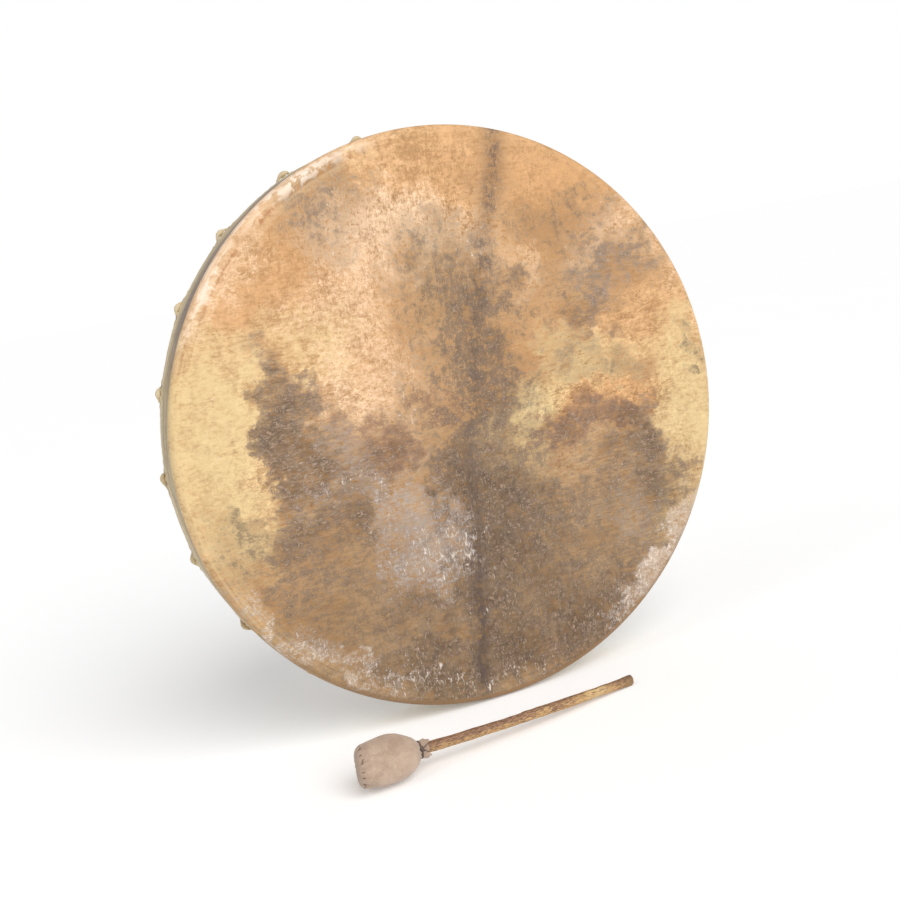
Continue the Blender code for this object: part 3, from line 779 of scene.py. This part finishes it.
def build_hoop():
    outer = HOOP_HIGH.x
    front, back = HOOP_LOW.y, HOOP_HIGH.y
    material = wood("hoop_wood")
    section = rounded_rectangle(outer - HOOP_THICKNESS, outer, front, back, 0.0016)
    angles = np.linspace(0, math.tau, 288, endpoint=False)
    size = len(section)
    vertices = []
    for a in angles:
        uneven = 0.0003 * wobble(a, 21, 7, 3.0)
        for r, y in section:
            inner = smooth_step((outer - 0.002 - r) / 0.004)
            vertices.append(polar(r + uneven * inner, a, y))
    hoop = add_mesh("hoop_ring", vertices, tube_faces(len(angles), size, closed=True), material)
    place(hoop, DRUM, ["hoop"])

    low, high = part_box("hoop_lap")
    middle, reach = math.radians(318.0), math.radians(19.0)
    inner = outer - HOOP_THICKNESS - 0.0003
    angles = np.linspace(middle - reach, middle + reach, 90)
    vertices = []
    for a in angles:
        edge = 1.0 - abs(a - middle) / reach
        thick = 0.0012 + 0.0048 * smooth_step(edge / 0.42)
        part = rounded_rectangle(inner - thick, inner, low.y, high.y, 0.00055)
        vertices += [polar(r, a, y) for r, y in part]
    lap = add_mesh("hoop_lap_end", vertices, tube_faces(len(angles), size), material)
    place(lap, DRUM, ["hoop_lap"])

    metal = Graph("tack_metal")
    scratch = metal.noise(metal.position, 900.0, 4.0, 0.6)
    tarnish = metal.mix(metal.span(scratch, 0.4, 0.7), srgb(150, 128, 88), srgb(96, 84, 66))
    metal.finish(tarnish, metal.span(scratch, 0.3, 0.7, 0.3, 0.55), Metallic=0.9,
                 Normal=metal.bump(scratch, 0.0001, 0.4))
    sides, rings = 20, 6
    for row, (turn, y) in enumerate(((-9.0, 0.014), (-9.0, 0.034), (9.5, 0.015), (9.5, 0.033))):
        a = middle + math.radians(turn)
        vertices = []
        for tilt in np.arange(1, rings + 1) / rings * math.pi / 2:
            r, h = 0.0032 * math.sin(tilt), 0.0011 * math.cos(tilt)
            for b in np.arange(sides) / sides * math.tau:
                vertices.append(polar(inner - 0.0059 - h, a, y + r * math.sin(b), r * math.cos(b)))
        vertices.append(polar(inner - 0.0059 - 0.0011, a, y))
        faces = [(rings * sides, k, (k + 1) % sides) for k in range(sides)]
        faces += [(p, s, r, q) for p, q, r, s in tube_faces(rings, sides, capped=False)]
        faces.append(tuple((rings - 1) * sides + k for k in range(sides))[::-1])
        place(add_mesh(f"lap_tack_{row + 1}", vertices, faces, metal.material), DRUM, ())


# ---------------------------------------------------------------- lacing and grip


def arm_axes(arm):
    """The direction of a grip arm, counted in quarter turns, and the direction across it."""
    a = arm * math.pi / 2
    return polar(1.0, a, 0.0), polar(0.0, a, 0.0, 1.0)


def build_lacing():
    material = lace_hide("lace_rawhide")
    rng = np.random.default_rng(4)
    arms = [int(round((k * STATION_STEP) / (math.pi / 2))) % 4 for k in range(STATIONS)]
    for k in range(STATIONS):
        angle = k * STATION_STEP
        arm = arms[k]
        ahead, across = arm_axes(arm)
        group = [j for j in range(STATIONS) if arms[j] == arm]
        group.sort(key=lambda j: (j * STATION_STEP - arm * math.pi / 2 + math.pi) % math.tau)
        place_in_arm = group.index(k)
        spread = (place_in_arm + 0.5) / len(group) - 0.5
        radial = polar(1.0, angle, 0.0)
        tangent = polar(0.0, angle, 0.0, 1.0)
        low = radial[2] < LOWEST
        peak = rng.uniform(0.0025, 0.0031)
        skew = rng.uniform(-0.0026, 0.0026)
        if low:
            peak, skew = 0.0018, 0.0
        ends = []
        for side in (-1, 1):
            layer = 0.0014 * (1 if (place_in_arm + (side > 0)) % 2 else -1)
            offset = (spread + side * 0.16 / len(group)) * 0.0092
            inner = ahead * 0.066 + across * offset * 0.9 + DEEP * (GRIP_PLANE + layer)
            gather = ahead * 0.086 + across * offset * 1.15 + DEEP * (GRIP_PLANE + layer)
            slot = side * SLOT_OFFSET
            rim = radial * 0.2335 + tangent * slot * rng.uniform(0.7, 0.95) + DEEP * LACE_PLANE
            middle = (gather + rim) / 2 + DEEP * rng.uniform(-0.0008, 0.0004)
            middle = middle + across * rng.uniform(-0.0008, 0.0008)
            near = gather * 0.82 + rim * 0.18
            ends.append([inner, gather, near, middle, rim])

        def at(t, h, y=LACE_PLANE):
            return radial * (RADIUS + h) + tangent * t + DEEP * y

        s = SLOT_OFFSET
        lean = rng.uniform(-0.0007, 0.0007)
        loop = [
            at(-s, -0.009), at(-s, -0.004), at(-s * 0.98, 0.0), at(-s * 0.76 + skew * 0.4, peak * 0.42),
            at(-s * 0.36 + skew, peak * 0.94, LACE_PLANE - 0.0006 + lean),
            at(s * 0.30 + skew, peak, LACE_PLANE - 0.0006 - lean),
            at(s * 0.76 + skew * 0.4, peak * 0.42), at(s * 0.98, 0.0), at(s, -0.004), at(s, -0.009),
        ]
        points = ends[0] + loop + ends[1][::-1]
        count = 190
        path = smooth_path(points, count)
        local_r = path @ radial
        local_t = path @ tangent
        turn = smooth_step((local_r - 0.2375) / 0.008)
        outward = smooth_step((local_r - RADIUS + 0.0004) / 0.0028)
        sideways = np.sign(local_t)[:, None] * tangent
        normals = DEEP * (1 - turn)[:, None] + sideways * (turn * (1 - outward))[:, None]
        normals = normals + radial * (turn * outward)[:, None]
        run = np.linspace(0, 1, count)
        width = 0.0042 + 0.0006 * wobble(run, 100 + k, 5, 14.0)
        at_slot = bell(local_r - RADIUS + 0.001, 0.003)
        crown = bell(local_t - skew, 0.0036) * outward
        width = width * (1 - at_slot * 0.35) + 0.0021 * crown
        thickness = 0.0014 + (0.0 if low else 0.0033) * crown + 0.0002 * wobble(run, 200 + k, 5, 11.0)
        in_grip = smooth_step((0.1 - np.abs(path @ ahead)) / 0.02)
        width = width * (1 - 0.42 * in_grip)
        if low:
            thickness = np.minimum(thickness, 0.0016)
        lace = sweep(f"lace_strip_{k + 1:02d}", path, width, thickness, 10, material, normals, 0.72)
        for vertex in lace.data.vertices:
            vertex.co.z = max(vertex.co.z, CLEAR_OF_FLOOR)
        place(lace, DRUM, [f"lace_{k + 1:02d}"])


def coil(start, end, ahead, across, radius, pitch, rng):
    """Points of a winding round one arm; radius(d) gives its radius at a distance from the middle."""
    turns = (end - start) / pitch
    count = int(turns * 26)
    points, normals = [], []
    for i in range(count + 1):
        f = i / count
        d = start + (end - start) * f
        a = f * turns * math.tau
        r = radius(d) + 0.00018 * math.sin(3 * a + 1.3) + rng.normal(0, 0.00002)
        out = across * math.cos(a) + DEEP * math.sin(a)
        points.append(ahead * d + DEEP * GRIP_PLANE + out * r)
        normals.append(out)
    return np.array(points), np.array(normals)


# Where the strands lie in an arm's section, across and deep, in millimetres.
STRANDS = ((-3.6, 1.3), (-1.2, 1.7), (1.2, 1.5), (3.6, 1.2), (-2.4, -1.5), (0, -1.7), (2.4, -1.4))


def build_grip():
    wrap_suede = suede("grip_suede", srgb(176, 142, 104), srgb(140, 106, 72))
    strands = lace_hide("bundle_rawhide", 0.25)
    rng = np.random.default_rng(7)
    for arm in range(4):
        ahead, across = arm_axes(arm)

        def radius(d):
            loose = 0.00025 * math.sin(d * 260 + arm)
            ends = 0.0009 * bell(d - 0.0855, 0.004)
            return WRAP_RADIUS + loose - ends

        points, normals = coil(WRAP_START, WRAP_END, ahead, across, radius, WRAP_PITCH, rng)
        # The winding overlaps itself like shingles: each turn leans on the one before.
        leaning = normals + ahead * 0.12
        width = 0.0044 + 0.0004 * wobble(np.linspace(0, 1, len(points)), 40 + arm, 6, 40.0)
        wrap = sweep(f"grip_winding_{arm + 1}", points, width, 0.0016, 10, wrap_suede, leaning, 0.85)
        place(wrap, DRUM, [f"grip_wrap_{arm + 1}"])

        pieces = []
        points, normals = coil(WRAP_END, TIE_END, ahead, across, lambda d: 0.0061, 0.0024, rng)
        tie = sweep(f"tie_{arm}", points, 0.0021, 0.0013, 8, strands, normals, 0.8)
        pieces.append(tie)
        for row, (u, v) in enumerate(STRANDS):
            steps = np.linspace(0.008, 0.0805, 24)
            path = [ahead * d + across * (u * 0.001 + 0.0003 * math.sin(d * 90 + row))
                    + DEEP * (GRIP_PLANE + v * 0.001) for d in steps]
            flat = [(0, 1, 0)] * len(path)
            pieces.append(sweep(f"strand_{arm}_{row}", path, 0.0026, 0.0021, 8, strands, flat, 0.8))
        bundle = join(pieces, f"grip_strands_{arm + 1}")
        place(bundle, DRUM, [f"grip_bundle_{arm + 1}"])

    # The crossing: strips laid from corner to corner over the front and back, in turn.
    pieces = []
    for layer in range(8):
        ahead, across = arm_axes(0.5 + layer % 2)
        shift = ((layer // 2) - 1.5) * 0.0042
        lift = 0.0056 + 0.00042 * layer * 0.5 + (0.0007 if layer % 2 else 0.0)
        long = math.sqrt(max(0.0125 ** 2 - shift ** 2, 0.00004))
        angles = np.linspace(0, math.tau, 72, endpoint=False)
        c, s = np.cos(angles), np.sin(angles)
        along = np.sign(c) * np.abs(c) ** 0.75 * long
        high = np.sign(s) * np.abs(s) ** 0.75 * lift
        path = ahead * along[:, None] + DEEP * (GRIP_PLANE + high)[:, None] + across * shift
        normals = ahead * (c / long)[:, None] + DEEP * (s / lift)[:, None]
        width = 0.0047 + 0.0003 * wobble(angles, 60 + layer, 4, 1.0)
        pieces.append(sweep(f"cross_{layer}", path, width, 0.0012, 10, wrap_suede, normals, 0.55, True))
    core = []
    for k in range(4):
        d = polar(1.0, k * math.pi / 4, 0.0)
        path = [d * f * 0.0115 + DEEP * GRIP_PLANE for f in np.linspace(-1, 1, 14)]
        core.append(sweep(f"core_{k}", path, 0.0088, 0.0092, 14, wrap_suede, [(0, 1, 0)] * 14, 0.8))
    place(join(pieces + core, "grip_crossing"), DRUM, ["grip_hub"])


def join(objects, name):
    """One object from several, each keeping its own closed mesh and material."""
    vertices, faces, marks, materials = [], [], [], []
    for obj in objects:
        base = len(vertices)
        vertices += [tuple(v.co) for v in obj.data.vertices]
        for material in obj.data.materials:
            if material not in materials:
                materials.append(material)
        for face in obj.data.polygons:
            faces.append(tuple(base + i for i in face.vertices))
            marks.append(materials.index(obj.data.materials[face.material_index]))
        bpy.data.objects.remove(obj)
    whole = add_mesh(name, vertices, faces, materials[0])
    for material in materials[1:]:
        whole.data.materials.append(material)
    whole.data.polygons.foreach_set("material_index", marks)
    return whole


# ---------------------------------------------------------------- beater

NECK = np.array((-0.1219, -0.0920, FLOOR + 0.0185))
TIP = np.array((0.0874, -0.0590, FLOOR + 0.0043))
BOW = np.array((0.0010, -0.0040, 0.0))
STICK_RADIUS = 0.0044
# Knots on the stick: how far along it, which way round in radians, and how high.
KNOTS = [(0.235, 0.6, 0.0005), (0.47, 2.4, 0.0006), (0.60, 4.4, 0.0007), (0.84, 1.2, 0.0005),
         (0.36, 5.3, 0.0004)]
HEAD_LENGTH = 0.054
END_PLEATS = 15


def stick_point(s):
    return NECK + (TIP - NECK) * s + BOW * 4 * s * (1 - s)


HEAD_AXIS = stick_point(0.0) - stick_point(0.12)
HEAD_AXIS /= np.linalg.norm(HEAD_AXIS)
HEAD_UP = UP - HEAD_AXIS * HEAD_AXIS[2]
HEAD_UP /= np.linalg.norm(HEAD_UP)
HEAD_SIDE = np.cross(HEAD_UP, HEAD_AXIS)


def head_point(height, radius, angle):
    """A point round the head's axis: height from the neck, angle from the side towards up."""
    return NECK + HEAD_AXIS * height + (HEAD_SIDE * math.cos(angle) + HEAD_UP * math.sin(angle)) * radius


def branch(name):
    """Bark above, worn golden streaks below, and peeled places; a dark weathered cut end."""
    g = Graph(name)
    along = TIP - NECK
    length = float(np.linalg.norm(along))
    along = along / length
    off = g.vector("SUBTRACT", g.position, tuple(NECK))
    distance = g.node("VectorMath", {0: off, 1: tuple(along)}, "Value", operation="DOT_PRODUCT")
    beside = g.vector("SUBTRACT", off, g.scale(tuple(along), distance))

    def drawn(across, lengthways):
        return g.vector("ADD", g.scale(beside, across), g.scale(tuple(along), distance * lengthways))

    streak = g.noise(drawn(420.0, 44.0), 1.0, 6.0, 0.7, 0.7)
    fibre = g.noise(drawn(1300.0, 260.0), 1.0, 5.0, 0.75, 0.4)
    lumps = g.noise(g.position, 210.0, 5.0, 0.65)
    height = g.separate(beside)[2] * 120.0
    peeled = streak * 2.6 + lumps * 1.3 + fibre * 0.8 - height
    bare = g.bell(distance, 0.165, 0.014) * 0.55 + g.bell(distance, 0.116, 0.008) * 0.4
    bare = bare + g.span(distance, 0.10, 0.16, 0.0, 0.25)
    peeled = g.span(peeled + bare, 2.15, 2.75)
    bark = g.mix(g.span(fibre, 0.38, 0.62), srgb(84, 56, 40), srgb(170, 130, 98))
    bark = g.mix(g.span(lumps, 0.5, 0.66, 0.0, 0.7), bark, srgb(122, 84, 60))
    gold = g.mix(g.span(fibre, 0.36, 0.64), srgb(146, 106, 66), srgb(218, 182, 126))
    gold = g.mix(g.span(streak, 0.5, 0.66, 0.0, 0.55), gold, srgb(150, 104, 62))
    colour = g.mix(peeled, bark, gold)
    pale = g.bell(distance, 0.170, 0.010) * 0.6 * g.span(streak, 0.4, 0.6)
    colour = g.mix(pale, colour, srgb(214, 192, 146))
    dirt = g.span(distance, length - 0.024, length - 0.006, 0.0, 0.6)
    colour = g.mix(dirt, colour, srgb(112, 86, 58))
    rough = fibre * 0.7 + lumps * 0.6 - peeled * 0.4
    return g.finish(colour, g.span(fibre, 0.3, 0.7, 0.5, 0.75), Normal=g.bump(rough, 0.0006, 0.7))


def cut_end(name):
    g = Graph(name)
    off = g.vector("SUBTRACT", g.position, tuple(TIP))
    rings = g.math("SINE", g.length(off) * 7000.0)
    noise = g.noise(g.position, 700.0, 4.0, 0.7)
    colour = g.mix(noise, srgb(150, 124, 88), srgb(96, 76, 54))
    colour = g.mix(g.span(rings, 0.2, 0.9, 0.0, 0.35), colour, srgb(80, 60, 42))
    return g.finish(colour, 0.85, Normal=g.bump(noise, 0.0004, 0.7))


def build_stick():
    rings, sides = 200, 36
    rng = np.random.default_rng(17)
    s_values = np.concatenate([np.linspace(-0.118, 0.9975, rings - 3), [0.9992, 1.0, 1.0]])
    path = np.array([stick_point(s) for s in s_values])
    tangents = np.gradient(path, axis=0)
    tangents[-1] = tangents[-3]
    tangents[-2] = tangents[-3]
    tangents /= np.linalg.norm(tangents, axis=1)[:, None]
    up = UP - tangents * (tangents @ UP)[:, None]
    up /= np.linalg.norm(up, axis=1)[:, None]
    side = np.cross(tangents, up)
    angles = np.arange(sides) / sides * math.tau
    vertices = []
    for i, s in enumerate(s_values):
        base = STICK_RADIUS * (1.0 - 0.11 * s) + 0.00022 * wobble(s, 31, 7, 14.0)
        base += 0.0005 * bell(s - 1.0, 0.05)
        if i == rings - 2:
            base -= 0.0003
        if i == rings - 1:
            base -= 0.0011
        r = base * (1 + 0.035 * np.sin(2 * angles + 5 * s) + 0.025 * np.sin(3 * angles - 9 * s + 1))
        r = r + 0.00012 * np.sin(7 * angles + 23 * s) + rng.normal(0, 0.000025, sides)
        for centre, turn, size in KNOTS:
            gap = (angles - turn + math.pi) % math.tau - math.pi
            r = r + size * np.exp(-(((s - centre) / 0.018) ** 2) - (gap / 0.55) ** 2)
        ring = path[i] + side[i] * (np.cos(angles) * r)[:, None] + up[i] * (np.sin(angles) * r)[:, None]
        vertices.append(ring)
    vertices = np.concatenate(vertices)
    vertices[:, 2] = np.maximum(vertices[:, 2], CLEAR_OF_FLOOR)
    faces = tube_faces(rings, sides)
    stick = add_mesh("beater_branch", vertices, faces, branch("beater_wood"))
    stick.data.materials.append(cut_end("beater_cut_end"))
    stick.data.polygons[len(faces) - 1].material_index = 1
    for k in range(sides):
        stick.data.polygons[(rings - 2) * sides + k].material_index = 1
    place(stick, BEATER, ["beater_stick"])


HEAD_PROFILE = [
    (0.0000, 0.0068), (0.0020, 0.0084), (0.0050, 0.0122), (0.0096, 0.0158), (0.0160, 0.0186),
    (0.0235, 0.0200), (0.0315, 0.0203), (0.0385, 0.0198), (0.0445, 0.0188), (0.0490, 0.0174),
    (0.0519, 0.0152), (0.0535, 0.0116), (0.0540, 0.0070), (0.0540, 0.0020),
]
END_SLANT = 0.27
CLOTH_FRAMES = 20
TIE_WIDTH = 0.0008
KNOT_AT = 0.4


def inflate(obj, still, cap):
    """Blows the cover up like a stuffed bag; still(points) marks points that stay where they are."""
    mesh = obj.data
    before = np.array([v.co for v in mesh.vertices])
    group = obj.vertex_groups.new(name="still")
    for index in np.nonzero(still(before))[0]:
        group.add([int(index)], 1.0, "REPLACE")
    cloth = obj.modifiers.new("cloth", "CLOTH")
    configure(cloth.settings, quality=8, mass=0.15, tension_stiffness=40.0, compression_stiffness=25.0,
              bending_stiffness=0.6, use_pressure=True, uniform_pressure_force=4.0,
              vertex_group_mass="still")
    cloth.settings.effector_weights.gravity = 0.0
    cloth.point_cache.frame_start = 1
    cloth.point_cache.frame_end = CLOTH_FRAMES
    scene = bpy.context.scene
    for number in range(1, CLOTH_FRAMES + 1):
        scene.frame_set(number)
    graph = bpy.context.evaluated_depsgraph_get()
    shape = obj.evaluated_get(graph).data
    after = np.array([v.co for v in shape.vertices])
    move = after - before
    length = np.linalg.norm(move, axis=1)
    move *= np.minimum(1.0, cap / np.maximum(length, 1e-9))[:, None]
    obj.modifiers.clear()
    obj.vertex_groups.clear()
    scene.frame_set(1)
    for vertex, place_at in zip(mesh.vertices, before + move):
        vertex.co = place_at
    mesh.update()


def build_head():
    cover_suede = suede("beater_suede", srgb(188, 164, 144), srgb(162, 138, 118))
    dark_thread = thread("beater_thread")
    heights = np.array([h for h, _ in HEAD_PROFILE])
    radii = np.array([r for _, r in HEAD_PROFILE])
    lengths = np.concatenate([[0], np.cumsum(np.hypot(np.diff(heights), np.diff(radii)))])
    even = np.linspace(0, lengths[-1], 40)
    rows = list(zip(np.interp(even, lengths, heights), np.interp(even, lengths, radii)))
    sides = 64
    vertices = [head_point(h, r * 0.93, k / sides * math.tau) for h, r in rows for k in range(sides)]
    cover = add_mesh("beater_head_cover", vertices, tube_faces(len(rows), sides), cover_suede)
    modify(cover, "REMESH", mode="VOXEL", voxel_size=0.0017, use_smooth_shade=True)
    apply_modifiers(cover)

    def still(points):
        along = (points - NECK) @ HEAD_AXIS
        return along < 0.004

    inflate(cover, still, 0.0016)
    modify(cover, "SUBSURF", levels=1)
    apply_modifiers(cover)
    shape_head(cover)
    cover.data.shade_smooth()
    place(cover, BEATER, ["beater_cover"])
    build_collar(cover_suede)
    build_threads(dark_thread, cover)
    core = bpy.data.objects.new("beater_stuffing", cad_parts["beater_padding"].data.copy())
    bpy.context.scene.collection.objects.link(core)
    middle = NECK + HEAD_AXIS * HEAD_LENGTH / 2
    for vertex in core.data.vertices:
        vertex.co = Vector(middle) + (vertex.co - Vector(middle)) * 0.84
    core.data.materials.clear()
    core.data.materials.append(stuffing("beater_stuffing"))
    place(core, BEATER, ["beater_padding"])


def shape_head(cover):
    """Pleats at the drawn-in blunt end and at the neck, and a flat resting place."""
    points = np.array([v.co for v in cover.data.vertices])
    off = points - NECK
    along = off @ HEAD_AXIS
    side = off @ HEAD_SIDE
    up = off @ HEAD_UP
    radius = np.hypot(side, up)
    angle = np.arctan2(up, side)
    end = smooth_step((along - 0.0420) / 0.006)
    rim = end * smooth_step((radius - 0.003) / 0.006)
    # Each stitch draws the leather in, so a crease runs from it round the corner of the end.
    turn = angle / math.tau * END_PLEATS - 0.5
    crease = bell(turn - np.round(turn), 0.2)
    strength = 0.65 + 0.35 * np.sin(np.round(turn) * 2.3)
    pleat = -1.6 * crease * strength + 0.35
    neck = bell(along - 0.0035, 0.0045)
    gather = np.sin(angle * 13 + 0.6 * np.sin(angle * 2 + 2))
    lumps = 0.0003 * np.sin(angle * 2 + along * 160) + 0.00022 * np.sin(angle * 3 - along * 240 + 1)
    swell = pleat * 0.0010 * rim + gather * 0.0007 * neck + lumps * smooth_step(along / 0.01)
    scale = (radius + swell) / np.maximum(radius, 1e-6)
    dimple = 0.0022 * bell(radius, 0.0065) * smooth_step((along - 0.046) / 0.005)
    # The blunt end is a little aslant, so it turns away from the drum's front.
    along = along - dimple + END_SLANT * side * smooth_step((along - 0.018) / 0.03)
    placed = NECK + HEAD_AXIS * along[:, None] + HEAD_SIDE * (side * scale)[:, None]
    placed = placed + HEAD_UP * (up * scale)[:, None]
    placed[:, 2] = np.maximum(placed[:, 2], CLEAR_OF_FLOOR)
    for vertex, where in zip(cover.data.vertices, placed):
        vertex.co = where
    cover.data.update()


def build_collar(material):
    """The cover's loose hem beyond the tie: a ruffle of stiff little flaps round the stick."""
    sides, rows = 96, 12
    vertices = []
    for row in range(rows):
        f = row / (rows - 1)
        height = 0.0015 - 0.0082 * f
        for k in range(sides):
            a = k / sides * math.tau
            ruffle = math.sin(a * 7 + 0.9 * math.sin(a * 2)) + 0.5 * math.sin(a * 4 + 2.0)
            radius = 0.0060 + 0.0011 * f ** 1.3 + 0.0007 * ruffle * f ** 1.2 - 0.0008 * bell(f - 0.2, 0.14)
            slide = 0.0013 * f * math.sin(a * 3 + 1.0) + 0.0006 * f * math.sin(a * 7 + 2.0)
            vertices.append(head_point(height + slide, max(radius, 0.0052), a))
    faces = [(a, d, c, b) for a, b, c, d in tube_faces(rows, sides, capped=False)]
    collar = add_mesh("beater_collar", vertices, faces, material)
    modify(collar, "SOLIDIFY", thickness=0.0011, offset=0.0)
    modify(collar, "SUBSURF", levels=1)
    apply_modifiers(collar)
    collar.data.shade_smooth()
    place(collar, BEATER, ())


def build_threads(material, cover):
    turns, steps = 3.6, 40
    count = int(turns * steps)
    points, normals = [], []
    for i in range(count + 1):
        a = i / steps * math.tau
        height = 0.0016 - 0.0024 * i / count + 0.0003 * math.sin(a * 0.7)
        points.append(head_point(height, 0.0068 + 0.0002 * math.sin(3 * a), a + 1.2))
        normals.append(head_point(0, 1, a + 1.2) - NECK)
    pieces = [sweep("tie_turns", points, TIE_WIDTH, TIE_WIDTH, 8, material, normals, 1.0)]
    for turn in range(5):
        a0 = KNOT_AT + 0.16 * math.sin(turn * 2.1)
        centre = head_point(0.0002 + 0.0004 * math.cos(turn * 1.7), 0.0078, a0)
        out = head_point(0, 1, a0) - NECK
        around = np.cross(HEAD_AXIS, out)
        loop = [centre + HEAD_AXIS * 0.0013 * math.cos(b + turn) + out * 0.0009 * math.sin(b + turn)
                + around * 0.0006 * math.sin(2 * b + turn) for b in np.arange(24) / 24 * math.tau]
        pieces.append(sweep(f"knot_{turn}", loop, TIE_WIDTH, TIE_WIDTH, 8, material, [out] * 24, 1.0, True))
    for tail, (swing, reach) in enumerate(((0.35, 0.0062), (-0.4, 0.0048))):
        path = [head_point(0.0004 - reach * f, 0.0080 + 0.0016 * math.sin(f * 2.4), KNOT_AT + swing * f)
                for f in np.linspace(0, 1, 12)]
        out = [head_point(0, 1, KNOT_AT) - NECK] * 12
        pieces.append(sweep(f"tail_{tail}", path, TIE_WIDTH, TIE_WIDTH, 8, material, out, 1.0))
    place(join(pieces, "beater_neck_thread"), BEATER, ["beater_neck_tie"])

    leather = BVHTree.FromPolygons([v.co.copy() for v in cover.data.vertices],
                                   [tuple(f.vertices) for f in cover.data.polygons])
    stitches = []
    rng = np.random.default_rng(23)
    for k in range(END_PLEATS):
        a = (k + 0.5) / END_PLEATS * math.tau
        path, out = [], []
        reach = rng.uniform(0.0032, 0.0052)
        for f in np.linspace(0, 1, 9):
            height = 0.0528 - reach * f + END_SLANT * 0.0178 * math.cos(a)
            guess = head_point(height, 0.0185, a + 0.03 * math.sin(k * 2.3) * f)
            spot, normal, _, _ = leather.find_nearest(Vector(guess))
            path.append(np.array(spot) + np.array(normal) * 0.00035 * math.sin(math.pi * min(f, 0.999)))
            out.append(np.array(normal))
        stitches.append(sweep(f"stitch_{k}", path, 0.0005, 0.0005, 8, material, out, 1.0))
    place(join(stitches, "beater_end_thread"), BEATER, ["beater_end_stitch"])


# ---------------------------------------------------------------- stage


def add_light(name, kind, position, target, **settings):
    data = configure(bpy.data.lights.new(name, kind), **settings)
    lamp = bpy.data.objects.new(name, data)
    bpy.context.scene.collection.objects.link(lamp)
    lamp.location = position
    lamp.rotation_euler = (Vector(target) - Vector(position)).to_track_quat("-Z", "Y").to_euler()


FLOOR_REACH = 60.0
CAMERA_PLACE = (-0.37229, -0.95094, 0.14083)
CAMERA_TURN, CAMERA_RISE, CAMERA_LEAN = math.radians(20.43), math.radians(9.1), math.radians(10.12)


def build_stage():
    scene = bpy.context.scene
    scene.view_settings.view_transform = "Standard"
    world = bpy.data.worlds.new("studio")
    scene.world = world
    world.use_nodes = True
    background = world.node_tree.nodes["Background"]
    background.inputs["Color"].default_value = (1.0, 1.0, 1.0, 1.0)
    seen = world.node_tree.nodes.new("ShaderNodeLightPath")
    strength = world.node_tree.nodes.new("ShaderNodeMapRange")
    strength.inputs["To Min"].default_value = 0.46
    strength.inputs["To Max"].default_value = 1.0
    world.node_tree.links.new(seen.outputs["Is Camera Ray"], strength.inputs["Value"])
    world.node_tree.links.new(strength.outputs["Result"], background.inputs["Strength"])

    g = Graph("pale_floor")
    shade = g.noise(g.position, 3.0, 2.0)
    g.finish(g.mix(shade, (0.885, 0.885, 0.885), (0.905, 0.905, 0.905)), 0.9,
             Specular_IOR_Level=0.0, Emission_Color=(1.0, 1.0, 1.0), Emission_Strength=0.165)
    corners = [(x * FLOOR_REACH, y * FLOOR_REACH, FLOOR) for x, y in ((-1, -1), (1, -1), (1, 1), (-1, 1))]
    add_mesh("studio_floor", corners, [(0, 1, 2, 3)], g.material)

    add_light("key", "SUN", (0.28, -1.15, 1.0), (0.0, 0.0, 0.0), energy=2.25, angle=math.radians(50.0))
    add_light("rim", "AREA", (-1.8, -0.7, 1.6), (0.0, 0.0, 0.05), energy=6.0, shape="DISK", size=1.0)

    # The camera stands a little to the left and above, and leans to one side.
    turn, rise, lean = CAMERA_TURN, CAMERA_RISE, CAMERA_LEAN
    ahead = Vector((math.sin(turn) * math.cos(rise), math.cos(turn) * math.cos(rise), -math.sin(rise)))
    right = Vector((math.cos(turn), -math.sin(turn), 0.0))
    up = right.cross(ahead)
    camera_x = right * math.cos(lean) - up * math.sin(lean)
    camera_y = up * math.cos(lean) + right * math.sin(lean)
    data = bpy.data.cameras.new("camera")
    data.lens = 48.0
    data.sensor_width = 36.0
    camera = bpy.data.objects.new("camera", data)
    scene.collection.objects.link(camera)
    matrix = Matrix((camera_x, camera_y, -ahead)).transposed().to_4x4()
    matrix.translation = CAMERA_PLACE
    camera.matrix_world = matrix
    scene.camera = camera


build_skin()
build_hoop()
build_lacing()
build_grip()
build_stick()
build_head()
build_stage()
